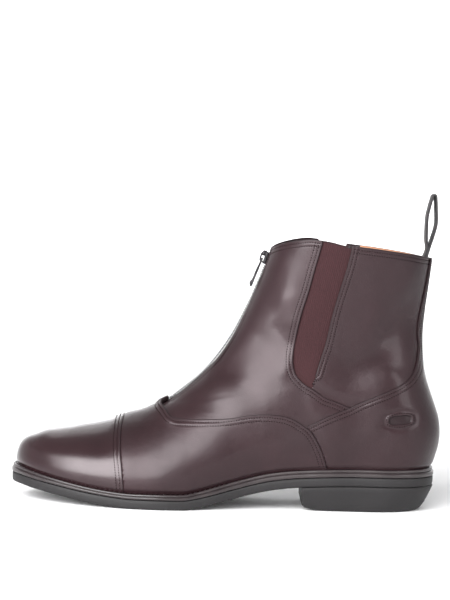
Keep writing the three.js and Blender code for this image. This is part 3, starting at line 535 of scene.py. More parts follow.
# Soft troughs and ridges of the worn-in leather, in the side view: from one place to another,
# how deep (a ridge is negative), how wide, and on which side (-1 outer, 1 inner, 0 both).
FOLDS = table("x0 z0 x1 z1 deep wide side", [
    (19, 130, 15, 118, 1.2, 10, -1), (29, 138, 30, 118, 0.8, 7, -1), (8, 146, 1, 116, -0.9, 11, -1),
    (23, 150, 27, 158, -0.8, 7, -1), (22, 97, 10, 103, 0.75, 7, -1), (21, 91, 17, 93, -0.5, 6, -1),
    (2, 100, -8, 92, 0.7, 9, -1), (-60, 121, -53, 112, 0.3, 4, -1), (-55, 140, -52, 128, -0.7, 7, -1),
    (-66, 160, -60, 165, -0.6, 6, -1), (-64, 148, -68, 138, 0.5, 7, -1), (-92, 92, -72, 112, 0.9, 9, 0),
    (-104, 84, -88, 76, -0.6, 9, 0), (-120, 70, -100, 66, 0.5, 8, 0), (-52, 100, -56, 92, -0.6, 5, 0),
    (-142, 50, -138, 36, 0.5, 12, 0), (-36, 68, -20, 64, -0.4, 7, 0), (6, 58, 8, 70, -0.5, 8, -1),
    (20, 128, 12, 120, 1.0, 10, 1), (-2, 148, 4, 130, -0.8, 12, 1), (16, 100, 4, 106, 0.9, 6, 1),
])


def relief(sheet):
    """The folds' height over the face."""
    x, y, z = sheet["point"].T
    height = np.zeros(len(x))
    for x0, z0, x1, z1, deep, wide, side in zip(*FOLDS.values()):
        dx, dz = x1 - x0, z1 - z0
        share = np.clip(((x - x0) * dx + (z - z0) * dz) / (dx * dx + dz * dz), 0, 1)
        away = np.hypot(x - x0 - share * dx, z - z0 - share * dz)
        on_side = 1.0 if side == 0 else smooth(0, 8, y * side)
        height -= deep * hump(away, wide) * on_side
    return height


def rolled(edge, radius):
    """How far a rounded edge has dropped at a distance from it."""
    inside = np.clip(1 - edge / radius, 0, 1)
    return radius * (1 - np.sqrt(1 - inside ** 2))


def pulled_down(edge, rows, depth=0.05, width=0.6, puff=0.09):
    """The leather between the stitch rows along an edge, puffed up a little, and drawn in at them."""
    drawn = sum(depth * hump(edge - row, width) for row in rows)
    return drawn - puff * hump(edge - sum(rows) / len(rows), width) if rows else drawn


def shell(sheet, outer, inner):
    """A closed shell: outer and inner are distances off the face at each corner of a sheet."""
    count = len(sheet["point"])
    points = np.concatenate([sheet["point"] + sheet["normal"] * outer[:, None],
                             sheet["point"] + sheet["normal"] * inner[:, None]])
    a, b = sheet.border().T
    faces = np.concatenate([
        sheet.triangles, sheet.triangles[:, ::-1] + count,
        np.stack([b, a, a + count], 1), np.stack([b, a + count, b + count], 1),
    ])
    return points, faces


def new_object(name, points, faces, material=None, edges=()):
    mesh = bpy.data.meshes.new(name)
    mesh.from_pydata((np.asarray(points) * MM).tolist(), list(edges), [list(f) for f in faces])
    mesh.validate()
    mesh.polygons.foreach_set("use_smooth", [True] * len(mesh.polygons))
    if material:
        mesh.materials.append(material)
    piece = bpy.data.objects.new(name, mesh)
    bpy.context.scene.collection.objects.link(piece)
    return piece


def set_attribute(piece, name, kind, values):
    """Stores values at a mesh's corners under a name."""
    attribute = piece.data.attributes.new(name, kind, "POINT")
    key = "vector" if kind == "FLOAT_VECTOR" else "value"
    attribute.data.foreach_set(key, np.asarray(values, float).reshape(-1))


def settle(piece, nodes, body=BOOT):
    """Says what a finished piece rides on and which nodes it stands for."""
    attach(piece, body)
    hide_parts(*nodes)
    return piece


def add_node(tree, kind, inputs=None, **settings):
    """A node with its settings; an input is a value, or a socket to link from."""
    node = tree.nodes.new(kind)
    for name, value in settings.items():
        setattr(node, name, value)
    for key, value in (inputs or {}).items():
        target = node.inputs[key]
        if isinstance(value, bpy.types.NodeSocket):
            tree.links.new(value, target)
        else:
            target.default_value = value
    return node


def geometry_tree(name, **inputs):
    """A Geometry Nodes tree with named inputs; gives the tree and its input node."""
    tree = bpy.data.node_groups.new(name, "GeometryNodeTree")
    tree.interface.new_socket("Geometry", in_out="OUTPUT", socket_type="NodeSocketGeometry")
    tree.interface.new_socket("Geometry", in_out="INPUT", socket_type="NodeSocketGeometry")
    for label, kind in inputs.items():
        tree.interface.new_socket(label.replace("_", " "), in_out="INPUT", socket_type="NodeSocket" + kind)
    return tree, tree.nodes.new("NodeGroupInput")


def end_tree(tree, source, geometry):
    """Realizes the instances, sets the material and closes the tree."""
    real = add_node(tree, "GeometryNodeRealizeInstances", {"Geometry": geometry})
    shade = add_node(tree, "GeometryNodeSetShadeSmooth", {"Geometry": real.outputs[0]})
    painted = add_node(tree, "GeometryNodeSetMaterial", {
        "Geometry": shade.outputs[0], "Material": source.outputs["Material"],
    })
    add_node(tree, "NodeGroupOutput", {"Geometry": painted.outputs[0]})


def grow(source, tree, values):
    """Runs a tree on an object and keeps the result as a plain mesh under the same name."""
    name = source.name
    modifier = source.modifiers.new("Shape", "NODES")
    modifier.node_group = tree
    for item in tree.interface.items_tree:
        if item.item_type == "SOCKET" and item.in_out == "INPUT" and item.name in values:
            modifier[item.identifier] = values[item.name]
    evaluated = source.evaluated_get(bpy.context.evaluated_depsgraph_get())
    mesh = bpy.data.meshes.new_from_object(evaluated)
    if not len(mesh.polygons):
        raise RuntimeError(f"{name} came out empty")
    source.modifiers.remove(modifier)
    bare = source.data
    source.data = mesh
    bpy.data.meshes.remove(bare)
    mesh.name = name
    return source


def stitch_tree():
    """Stitches along every path of a mesh, each lying in the surface that the path runs on."""
    tree, source = geometry_tree(
        "Stitch rows", Pitch="Float", Length="Float", Thread="Float", Seed="Int", Material="Material")
    path = add_node(tree, "GeometryNodeMeshToCurve", {"Mesh": source.outputs["Geometry"]})
    points = add_node(tree, "GeometryNodeResampleCurve", {"Curve": path.outputs[0]}, mode="LENGTH")
    tree.links.new(source.outputs["Pitch"], points.inputs["Length"])
    out = add_node(tree, "GeometryNodeInputNamedAttribute", {"Name": "out"}, data_type="FLOAT_VECTOR")
    tangent = tree.nodes.new("GeometryNodeInputTangent")
    turned = add_node(tree, "FunctionNodeAxesToRotation", {
        "Primary Axis": tangent.outputs[0], "Secondary Axis": out.outputs[0],
    }, primary_axis="Z", secondary_axis="X")
    uneven = add_node(tree, "FunctionNodeRandomValue", {"Seed": source.outputs["Seed"]}, data_type="FLOAT")
    uneven.inputs[2].default_value = 0.9
    uneven.inputs[3].default_value = 1.06
    long = add_node(tree, "ShaderNodeMath", {0: source.outputs["Length"], 1: uneven.outputs[1]},
                    operation="MULTIPLY")
    size = add_node(tree, "ShaderNodeCombineXYZ", {
        "X": source.outputs["Thread"], "Y": source.outputs["Thread"], "Z": long.outputs[0],
    })
    bead = add_node(tree, "GeometryNodeMeshUVSphere", {"Segments": 6, "Rings": 5, "Radius": 0.5})
    placed = add_node(tree, "GeometryNodeInstanceOnPoints", {
        "Points": points.outputs[0], "Instance": bead.outputs["Mesh"], "Rotation": turned.outputs[0],
        "Scale": size.outputs[0],
    })
    end_tree(tree, source, placed.outputs[0])
    return tree


def paths_object(name, paths):
    """An object of bare paths; each is its points and the outward normals there."""
    points = np.concatenate([p for p, _ in paths])
    normals = np.concatenate([n for _, n in paths])
    edges, start = [], 0
    for p, _ in paths:
        edges += [(start + i, start + i + 1) for i in range(len(p) - 1)]
        start += len(p)
    piece = new_object(name, points, [], edges=edges)
    set_attribute(piece, "out", "FLOAT_VECTOR", normals)
    return piece


def sew(name, paths, nodes, material, pitch=None, thread=None, seed=1):
    """Stitches along the paths, as one piece."""
    sewing = bpy.context.scene.boot_sewing
    pitch = pitch or sewing.pitch
    thread = thread or sewing.thread
    piece = paths_object(name, paths)
    grow(piece, stitch_tree(), {
        "Pitch": pitch, "Length": pitch * sewing.fill, "Thread": thread, "Seed": seed, "Material": material,
    })
    return settle(piece, nodes)


def row_paths(sheet, outer, field, distance, within=None):
    """The paths of a stitch row at a distance from a seam, on a panel's outer face."""
    made = Sheet(dict(sheet.columns, outer=outer), sheet.triangles)
    split, lines = made.contour(field, distance, within)
    paths = []
    for line in lines:
        lift = split["outer"][line][:, None] + STITCH_LIFT
        paths.append((split["point"][line] + split["normal"][line] * lift, unit(split["normal"][line])))
    return paths


STITCH_LIFT = 0.02
PANELS = {}


def whole_skin():
    """The upper's face, made once for all panels."""
    if "skin" not in PANELS:
        PANELS["skin"] = skin(SKIN_RINGS, SKIN_TURNS)
    return PANELS["skin"]


SKIN_RINGS, SKIN_TURNS = 220, 400
LINING_RINGS, LINING_TURNS = 110, 220
VAMP_LIFT, CAP_LIFT, LEATHER_INNER = 1.3, 1.9, -1.15
EDGE_ROWS = (2.1, 4.5)
EDGE_LEVELS = (0.2, 0.45, 0.8, 1.5, 2.1, 2.7, 3.3, 3.9, 4.5, 5.1, 6.0)


def make_panel(name, region, seams, lift, inner, node, material, burnished=None):
    """Cuts a panel out of the skin, gives its edges their shape and keeps it for the stitching.

    region gives the field that is positive within the panel, seams each seam's field, its stitch
    rows and the levels cut along it, and lift and inner the heights of the two faces. burnished
    gives a further distance near which the leather's colour is deepened with painted shade.
    """
    full = whole_skin()
    sheet = Sheet(dict(full.columns), full.triangles)
    sheet.columns["inside"] = region(sheet)
    sheet = sheet.cut("inside")
    for number, (field, rows, levels) in enumerate(seams):
        label = f"seam{number}"
        sheet.columns[label] = field(sheet)
        for level in levels:
            sheet = sheet.cut(label, level, keep_low=True)
    drop = np.zeros(len(sheet["x"]))
    nearest = np.full(len(drop), 20.0)
    for number, (_, rows, _) in enumerate(seams):
        edge = sheet[f"seam{number}"]
        drop += rolled(edge, EDGE_RADIUS) + pulled_down(edge, rows)
        nearest = np.minimum(nearest, edge)
    # Painted shade: a further mask, such as the pressed oval's recess, joins the seams in deepening the colour.
    if burnished:
        nearest = np.minimum(nearest, burnished(sheet))
    tucked = FEATHER_PINCH * (1 - smooth(0, 3.5, sheet["over_feather"]))
    outer = lift(sheet) + relief(sheet) - np.minimum(drop, 1.2) - tucked
    under = np.minimum(inner(sheet) + np.minimum(relief(sheet), 0), outer - 0.3)
    piece = new_object(name, *shell(sheet, outer, under), material)
    set_attribute(piece, "seam", "FLOAT", np.tile(np.clip(nearest, 0, 20), 2))
    settle(piece, [node])
    PANELS[name] = (sheet, outer)
    return piece


EDGE_RADIUS = 0.5
FEATHER_PINCH = 0.9


def full(value):
    return lambda sheet: np.full(len(sheet["x"]), float(value))


class QuarterPanels(bpy.types.Operator):
    """Cut the front and rear quarters of both sides"""

    bl_idname = "boot.quarters"
    bl_label = "Quarters"

    def execute(self, context):
        material = finish_leather("Quarter leather")
        zip_edge, tuck = SLOT_WIDTH / 2 - 0.3, 5
        for side, word in ((-1, "lateral"), (1, "medial")):
            def beside_zip(s, side=side):
                return s["aside"] * side - zip_edge

            def front(s, side=side):
                return np.minimum.reduce([
                    beside_zip(s, side), -s["behind_front"], s["over_vamp"] + tuck,
                    s["over_counter"] + tuck, s["under_collar"], s["front"] * 60 + 40,
                ])

            def rear(s, side=side):
                return np.minimum.reduce([
                    s["behind_front"], -s["before_rear"], s["over_counter"] + tuck,
                    s["under_collar"], s["y"] * side - 0.05,
                ])

            make_panel(
                f"quarter_front_{word}", front,
                [(lambda s: -s["behind_front"], EDGE_ROWS, EDGE_LEVELS), (beside_zip, EDGE_ROWS, EDGE_LEVELS),
                 (lambda s: s["under_collar"], EDGE_ROWS, EDGE_LEVELS)],
                full(0), full(LEATHER_INNER), "upper", material)
            make_panel(
                f"quarter_rear_{word}", rear,
                [(lambda s: -s["before_rear"], EDGE_ROWS, EDGE_LEVELS),
                 (lambda s: s["under_collar"], EDGE_ROWS, EDGE_LEVELS)],
                lambda s: -0.75 * (1 - smooth(1, 9, s["behind_front"])) * smooth(1.05, 0.85, s["z"] / 100),
                full(LEATHER_INNER), "upper", material)
        return {"FINISHED"}


def within_vamp(sheet):
    """Distance inside the vamp's top edge, which ends in a short tongue over the zip's foot."""
    tongue = 6.0 * hump(sheet["aside"], 4.5) * smooth(-112, -124, sheet["x"])
    return tongue - sheet["over_vamp"]


class VampPanels(bpy.types.Operator):
    """Cut the vamp, the toe cap and the counter with its back stay"""

    bl_idname = "boot.vamp"
    bl_label = "Vamp, toe cap and counter"

    def execute(self, context):
        material = finish_leather("Vamp leather")

        def vamp_lift(s):
            edge = within_vamp(s)
            tail = 0.3 * (1 - smooth(3, 14, edge)) * smooth(-60, -35, s["x"])
            throat = 1.6 * (1 - smooth(0, 7, edge)) * smooth(-122, -134, s["x"])
            return VAMP_LIFT + tail + throat

        make_panel(
            "vamp_panel", lambda s: np.minimum(s["behind_cap"], within_vamp(s)),
            [(within_vamp, EDGE_ROWS, EDGE_LEVELS)],
            vamp_lift, full(0.15), "vamp", material)
        polished = finish_leather("Toe cap leather", roughness=0.2, coat=0.5)
        make_panel(
            "toe_cap_panel", lambda s: -s["behind_cap"],
            [(lambda s: -s["behind_cap"], EDGE_ROWS, EDGE_LEVELS)],
            full(CAP_LIFT), full(0.3), "toe_cap", polished)

        def stay(s):
            return np.minimum(BACK_STAY_WIDTH / 2 - np.abs(s["y"]), s["x"] - 20)

        def upper_edge(s):
            return np.minimum(s["under_collar"], np.maximum(-s["over_counter"], stay(s)))

        def cup(s):
            body = np.minimum(s["over_vamp"] - 0.05, -s["over_counter"])
            return np.minimum(s["under_collar"], np.maximum(body, stay(s)))

        def pressed(s):
            outer_side = smooth(0, 10, -s["y"])
            press = 1.05 * (1 - smooth(-0.5, 0.3, s["oval"])) - 0.22 * hump(s["oval"] - 1.0, 0.8)
            return (press + 0.3 * hump(s["oval"] - 3.2, 1.6)) * outer_side

        # Painted shade: the recess of the pressed oval on the outer side gets a deep colour, standing in for its
        # shadow.
        def darker(s):
            return np.where((s["y"] < 0) & (s["oval"] < 0.3), 0.15, 20)

        make_panel(
            "counter_panel", cup,
            [(upper_edge, EDGE_ROWS, EDGE_LEVELS),
             (lambda s: s["oval"] + 30, (), tuple(30 + d for d in (-1.4, -0.8, -0.3, 0.2, 0.8, 1.4, 2.2, 3.4)))],
            lambda s: VAMP_LIFT - pressed(s) - 0.4 * (1 - smooth(1, 8, s["over_vamp"])),
            full(0.15), "counter", material, darker)
        return {"FINISHED"}


FACING_END, FACING_DEPTH = -3, 26


class Lining(bpy.types.Operator):
    """Line the inside, face the collar's front with leather and finish the insole"""

    bl_idname = "boot.lining"
    bl_label = "Lining"

    def execute(self, context):
        material = finish_lining()
        sheet = skin(LINING_RINGS, LINING_TURNS)
        gore = np.minimum(sheet["behind_front"], sheet["before_rear"])
        sheet.columns["inside"] = np.minimum.reduce([
            sheet["under_collar"] - 0.5, -gore - 1.5, sheet["over_feather"] - 0.6,
            np.maximum(np.abs(sheet["aside"]) - 8.5, -sheet["over_vamp"] - 3) + 200 * (sheet["front"] < 0),
        ])
        sheet = sheet.cut("inside")
        sheet.columns["faced"] = np.minimum(FACING_END - sheet["x"], FACING_DEPTH - sheet["under_collar"])
        facing = Sheet(dict(sheet.columns), sheet.triangles).cut("faced")
        sheet.columns["plain"] = -sheet["faced"]
        sheet = sheet.cut("plain")
        for name, cloth, finish, slot in (("lining", sheet, material, LINING),
                                          ("collar_facing", facing, finish_leather("Facing leather"), LEATHER)):
            count = len(cloth["x"])
            piece = new_object(name, *shell(cloth, np.full(count, -1.9), np.full(count, -WALL)), finish)
            settle(piece, ["upper"])
        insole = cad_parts["insole"]
        insole.data.materials.clear()
        insole.data.materials.append(material)
        return {"FINISHED"}


def rib_tree():
    """Raises even ribs over a sheet, across the direction that its attribute measures."""
    tree, source = geometry_tree("Elastic ribs", Rib_pitch="Float", Rib_height="Float", Material="Material")
    across = add_node(tree, "GeometryNodeInputNamedAttribute", {"Name": "across"}, data_type="FLOAT")
    face = add_node(tree, "GeometryNodeInputNamedAttribute", {"Name": "outer"}, data_type="FLOAT")
    out = add_node(tree, "GeometryNodeInputNamedAttribute", {"Name": "out"}, data_type="FLOAT_VECTOR")
    turns = add_node(tree, "ShaderNodeMath", {0: across.outputs[0], 1: source.outputs["Rib pitch"]},
                     operation="DIVIDE")
    angle = add_node(tree, "ShaderNodeMath", {0: turns.outputs[0], 1: 2 * math.pi}, operation="MULTIPLY")
    wave = add_node(tree, "ShaderNodeMath", {0: angle.outputs[0]}, operation="COSINE")
    height = add_node(tree, "ShaderNodeMath", {0: wave.outputs[0], 1: source.outputs["Rib height"]},
                      operation="MULTIPLY")
    shown = add_node(tree, "ShaderNodeMath", {0: height.outputs[0], 1: face.outputs[0]}, operation="MULTIPLY")
    offset = add_node(tree, "ShaderNodeVectorMath", {0: out.outputs[0], "Scale": shown.outputs[0]},
                      operation="SCALE")
    moved = add_node(tree, "GeometryNodeSetPosition", {
        "Geometry": source.outputs["Geometry"], "Offset": offset.outputs[0],
    })
    end_tree(tree, source, moved.outputs[0])
    return tree


class Gores(bpy.types.Operator):
    """Weave the elastic gores of both sides"""

    bl_idname = "boot.gores"
    bl_label = "Elastic gores"

    def execute(self, context):
        elastic = context.scene.boot_elastic
        material = finish_elastic()
        tuck, rows, fine = 5.0, 70, 0.2
        front = seam_line(GORE_FRONT, TAIL_EDGE)[::-1]
        front = front[front[:, 1] > 80]
        rear = seam_line(GORE_REAR)
        front_curve, rear_curve = line_through(*front.T), line_through(*rear.T)
        along = np.linspace(0, 1, rows)[:, None]
        ax, az = front_curve(along)
        bx, bz = rear_curve(along)
        run = np.maximum(1e-6, np.hypot(bx - ax, bz - az))
        columns = int((28 + 2 * tuck) / fine)
        share = np.linspace(0, 1, columns)[None, :]
        place = -tuck + share * (run + 2 * tuck)
        x, z = ax + (bx - ax) / run * place, az + (bz - az) / run * place
        z = np.minimum(z, collar_height(x) - mix(1.0, 2.2, np.clip(place / run, 0, 1)))
        axis = math.radians(78)
        across = x * math.sin(axis) - z * math.cos(axis)
        for side, word in ((-1, "lateral"), (1, "medial")):
            point, normal = on_face(x, z, side)
            bulge = 0.5 * np.sin(np.pi * np.clip(place / run, 0, 1))
            count = rows * columns
            outer = point + normal * (bulge[..., None] - 1.25)
            under = point + normal * -2.0
            points = np.concatenate([outer.reshape(-1, 3), under.reshape(-1, 3)])
            triangles = grid_triangles(rows, columns, closed=False)
            if side < 0:
                triangles = triangles[:, ::-1]
            sheet = Sheet({"point": points}, triangles)
            a, b = sheet.border().T
            faces = np.concatenate([
                triangles, triangles[:, ::-1] + count,
                np.stack([b, a, a + count], 1), np.stack([b, a + count, b + count], 1),
            ])
            piece = new_object(f"gore_elastic_{word}", points, faces)
            set_attribute(piece, "across", "FLOAT", np.tile(across.reshape(-1), 2))
            set_attribute(piece, "outer", "FLOAT", np.repeat([1.0, 0.0], count))
            set_attribute(piece, "out", "FLOAT_VECTOR", np.tile(normal.reshape(-1, 3), (2, 1)))
            grow(piece, rib_tree(), {
                "Rib pitch": elastic.rib_pitch * 1000, "Rib height": elastic.rib_height, "Material": material,
            })
            settle(piece, [f"gore_{word}"])
        return {"FINISHED"}


def seam_rows(name, field, rows, within):
    """Sews rows along a seam of a finished panel."""
    sheet, outer = PANELS[name]
    made = Sheet(dict(sheet.columns), sheet.triangles)
    made.columns["sewn"] = field(made)
    made.columns["within"] = within(made)
    paths = []
    for row in rows:
        paths += row_paths(made, outer, "sewn", row, "within")
    return paths


class Sewing(bpy.types.Operator):
    """Sew the stitch rows along the seams and round the pressed oval"""

    bl_idname = "boot.sewing"
    bl_label = "Stitching"

    def execute(self, context):
        thread = finish_thread()
        margin = 0.6
        for word, side in (("lateral", -1), ("medial", 1)):
            def beside_zip(s, side=side):
                return s["aside"] * side - SLOT_WIDTH / 2 + 0.3

            front, rear = f"quarter_front_{word}", f"quarter_rear_{word}"
            collar = lambda s: s["under_collar"]
            seen_front = lambda s: np.minimum.reduce([s["over_vamp"] - margin, s["over_counter"] - margin,
                                                      s["under_collar"] - 1.6])
            paths = seam_rows(front, lambda s: -s["behind_front"], EDGE_ROWS, seen_front)
            paths += seam_rows(front, beside_zip, EDGE_ROWS, seen_front)
            paths += seam_rows(front, collar, EDGE_ROWS, lambda s, z=beside_zip: np.minimum(
                -s["behind_front"] - 1.6, z(s) - 1.6))
            sew(f"stitches_front_{word}", paths, ["upper"], thread, seed=3)
            seen_rear = lambda s: np.minimum.reduce([s["behind_front"] - margin, s["over_counter"] - margin,
                                                     s["under_collar"] - 1.6])
            beyond_stay = lambda s, side=side: np.minimum(
                -s["before_rear"] - 1.6, s["y"] * side - BACK_STAY_WIDTH / 2 - 0.5)
            paths = seam_rows(rear, lambda s: -s["before_rear"], EDGE_ROWS, seen_rear)
            paths += seam_rows(rear, collar, EDGE_ROWS, beyond_stay)
            sew(f"stitches_rear_{word}", paths, ["upper"], thread, seed=4)
        over_feather = lambda s: s["over_feather"] - 2.5
        paths = seam_rows("vamp_panel", within_vamp, EDGE_ROWS,
                          lambda s: np.minimum(over_feather(s), s["behind_cap"] - 1))
        sew("stitches_vamp", paths, ["vamp"], thread, seed=5)
        paths = seam_rows("toe_cap_panel", lambda s: -s["behind_cap"], EDGE_ROWS, over_feather)
        sew("stitches_toe_cap", paths, ["toe_cap"], thread, seed=6)

        def edge(s):
            stay = np.minimum(BACK_STAY_WIDTH / 2 - np.abs(s["y"]), s["x"] - 20)
            return np.maximum(-s["over_counter"], stay)

        paths = seam_rows("counter_panel", edge, EDGE_ROWS,
                          lambda s: np.minimum(s["over_vamp"] - margin, s["under_collar"] - 1.6))
        paths += seam_rows("counter_panel", lambda s: s["oval"] + 30, (31.6,),
                           lambda s: -s["y"] - 3)
        sew("stitches_counter", paths, ["counter"], thread, seed=7)
        return {"FINISHED"}


def swept(name, sections, material, closed_path=False, attribute=None):
    """A closed body from rows of equal section loops."""
    rows, columns = len(sections), len(sections[0])
    points = np.concatenate(sections)
    faces = [tuple(f) for f in grid_triangles(rows, columns)]
    if closed_path:
        last = (rows - 1) * columns
        for j in range(columns):
            k = (j + 1) % columns
            faces.append((last + j, last + k, k, j))
    else:
        faces.append(tuple(range(columns))[::-1])
        faces.append(tuple(range((rows - 1) * columns, rows * columns)))
    return new_object(name, points, faces, material)


def front_place(ring, y, lift):
    """A place beside the front's middle line, at a height off the face."""
    foot, normal = face_point(ring, np.zeros_like(ring)), face_normal(ring, np.zeros_like(ring))
    return foot + normal * np.asarray(lift)[..., None] + np.array([0.0, 1.0, 0.0]) * np.asarray(y)[..., None]


def tooth_mesh():
    """One zip tooth, rounded, its head at the middle and its jaws round the tape."""
    profile = [(-0.42, -0.3), (-0.42, 2.5), (-0.5, 2.9), (0.0, 3.1), (0.5, 2.9), (0.42, 2.5), (0.42, -0.3), (0, -0.55)]
    points, levels = [], ((-0.55, 0.75), (-0.35, 1.0), (0.45, 1.0), (0.7, 0.7))
    for height, share in levels:
        points += [(u * share, 0.2 + (w - 0.2) * share, height) for u, w in profile]
    count = len(profile)
    faces = [tuple(f) for f in grid_triangles(len(levels), count)]
    faces += [tuple(range(count))[::-1], tuple(range(3 * count, 4 * count))]
    return new_object("tooth", np.array(points), faces)


def teeth_tree(tooth):
    """Teeth along a path, set in turn to its two sides."""
    tree, source = geometry_tree("Zip teeth", Tooth_pitch="Float", Material="Material")
    path = add_node(tree, "GeometryNodeMeshToCurve", {"Mesh": source.outputs["Geometry"]})
    points = add_node(tree, "GeometryNodeResampleCurve", {"Curve": path.outputs[0]}, mode="LENGTH")
    tree.links.new(source.outputs["Tooth pitch"], points.inputs["Length"])
    out = add_node(tree, "GeometryNodeInputNamedAttribute", {"Name": "out"}, data_type="FLOAT_VECTOR")
    tangent = tree.nodes.new("GeometryNodeInputTangent")
    turned = add_node(tree, "FunctionNodeAxesToRotation", {
        "Primary Axis": tangent.outputs[0], "Secondary Axis": out.outputs[0],
    }, primary_axis="X", secondary_axis="Z")
    shape = add_node(tree, "GeometryNodeObjectInfo", {"Object": tooth})
    index = tree.nodes.new("GeometryNodeInputIndex")
    odd = add_node(tree, "ShaderNodeMath", {0: index.outputs[0], 1: 2.0}, operation="MODULO")
    half_turn = add_node(tree, "ShaderNodeMath", {0: odd.outputs[0], 1: math.pi}, operation="MULTIPLY")
    flip = add_node(tree, "ShaderNodeCombineXYZ", {"Z": half_turn.outputs[0]})
    placed = add_node(tree, "GeometryNodeInstanceOnPoints", {
        "Points": points.outputs[0], "Instance": shape.outputs["Geometry"], "Rotation": turned.outputs[0],
    })
    as_turn = add_node(tree, "FunctionNodeEulerToRotation", {"Euler": flip.outputs[0]})
    flipped = add_node(tree, "GeometryNodeRotateInstances", {
        "Instances": placed.outputs[0], "Rotation": as_turn.outputs[0], "Local Space": True,
    })
    end_tree(tree, source, flipped.outputs[0])
    return tree


COLLAR_FRONT = float(collar_height(THROAT[0] + THROAT_SET))
ZIP_START = ring_at_height(FRONT_MIDDLE, THROAT[1] + 2)
ZIP_END = ring_at_height(FRONT_MIDDLE, COLLAR_FRONT - 1.0)
SLIDER_SET = 5.5
SLIDER_RING = ring_at_height(FRONT_MIDDLE, COLLAR_FRONT - SLIDER_SET)


class ZipChain(bpy.types.Operator):
    """Lay the zip's tapes and set its teeth"""

    bl_idname = "boot.zip_chain"
    bl_label = "Zip tapes and teeth"

    def execute(self, context):
        zip_sizes = context.scene.boot_zip
        tape, metal = finish_tape(), finish_metal("Gunmetal teeth", worn=0.1, metallic=0.3)
        ring = np.linspace(ZIP_START - 0.01, ZIP_END, 90)
        edge, under = 9.0, -1.9
        for side, word in ((-1, "lateral"), (1, "medial")):
            section = [(0.25, -1.2), (2.4, -1.15), (5.0, -1.25), (edge, -1.5), (edge, under), (5.0, under + 0.2),
                       (0.25, under + 0.2)]
            if side > 0:
                section = section[::-1]
            loops = np.stack([front_place(ring, np.full(len(ring), u * side), np.full(len(ring), v))
                              for u, v in section], 1)
            piece = swept(f"zip_tape_{word}", list(loops), tape)
            settle(piece, ["zip_chain"])
        tooth = tooth_mesh()
        line = np.linspace(ZIP_START - 0.005, SLIDER_RING, 140)
        points = front_place(line, np.zeros(len(line)), np.full(len(line), 0.2))
        normals = face_normal(line, np.zeros_like(line)) * np.array([1.0, 0.0, 1.0])
        piece = paths_object("zip_teeth", [(points, unit(normals))])
        grow(piece, teeth_tree(tooth), {"Tooth pitch": zip_sizes.tooth_pitch / 2, "Material": metal})
        bpy.data.objects.remove(tooth)
        settle(piece, ["zip_chain"])
        return {"FINISHED"}


def slider_axes():
    """The slider's own frame: out of the zip, sideways, up along it, and its foot on the face."""
    ring = np.array(SLIDER_RING)
    foot, out = face_point(ring, np.array(0.0)), face_normal(ring, np.array(0.0))
    out = unit(out * np.array([1.0, 0.0, 1.0]))
    side = np.array([0.0, -1.0, 0.0])
    return foot, out, side, np.cross(out, side)


def in_slider(points):
    """Places given as lift, sideways and up, turned into the boot's frame."""
    foot, out, side, up = slider_axes()
    points = np.asarray(points, float)
    return foot + points[..., :1] * out + points[..., 1:2] * side + points[..., 2:] * up


def plate_rings(outline, levels):
    """Loops of a plate: levels give the lift and how far the outline is drawn in."""
    outline = np.asarray(outline, float)
    centre = outline.mean(0)
    reach = np.linalg.norm(outline - centre, axis=1, keepdims=True)
    loops = []
    for lift, inset in levels:
        flat = centre + (outline - centre) * (1 - inset / reach)
        loops.append(np.concatenate([np.full((len(flat), 1), lift), flat], 1))
    return loops


def rounded(outline, passes=2):
    """A closed outline with its corners cut round."""
    outline = np.asarray(outline, float)
    for _ in range(passes):
        after = np.roll(outline, -1, axis=0)
        outline = np.stack([mix(outline, after, 0.25), mix(outline, after, 0.75)], 1).reshape(-1, 2)
    return outline


PLATE_BACK, PLATE_FACE = 1.3, 2.1
PIN_LIFT = 3.2
PIN_UP = -1.95


def tube_loops(path, radius, sides=10, flat=1.0):
    """Round loops along a path in the slider's frame."""
    path = np.asarray(path, float)
    tangent = unit(np.gradient(path, axis=0))
    across = unit(np.cross(tangent, np.array([1.0, 0.0, 0.0]) + 1e-3))
    over = np.cross(across, tangent)
    turn = np.linspace(0, 2 * np.pi, sides, endpoint=False)
    return [p + radius * (np.cos(turn)[:, None] * a * flat + np.sin(turn)[:, None] * o)
            for p, a, o in zip(path, across, over)]


def arc_path(points, count):
    """A smooth path through a few places."""
    points = np.asarray(points, float)
    lengths = np.concatenate([[0], np.cumsum(np.linalg.norm(np.diff(points, axis=0), axis=1))])
    return Curve(lengths, *points.T)(np.linspace(0, lengths[-1], count)).T


def joined(name, parts, material):
    """Several closed bodies, each its loops, as one piece."""
    points, faces, start = [], [], 0
    for loops in parts:
        rows, columns = len(loops), len(loops[0])
        points.append(np.concatenate(loops))
        faces += [tuple(f + start) for f in grid_triangles(rows, columns)]
        faces.append(tuple(start + i for i in range(columns))[::-1])
        faces.append(tuple(start + (rows - 1) * columns + i for i in range(columns)))
        start += rows * columns
    return new_object(name, np.concatenate(points), faces, material)


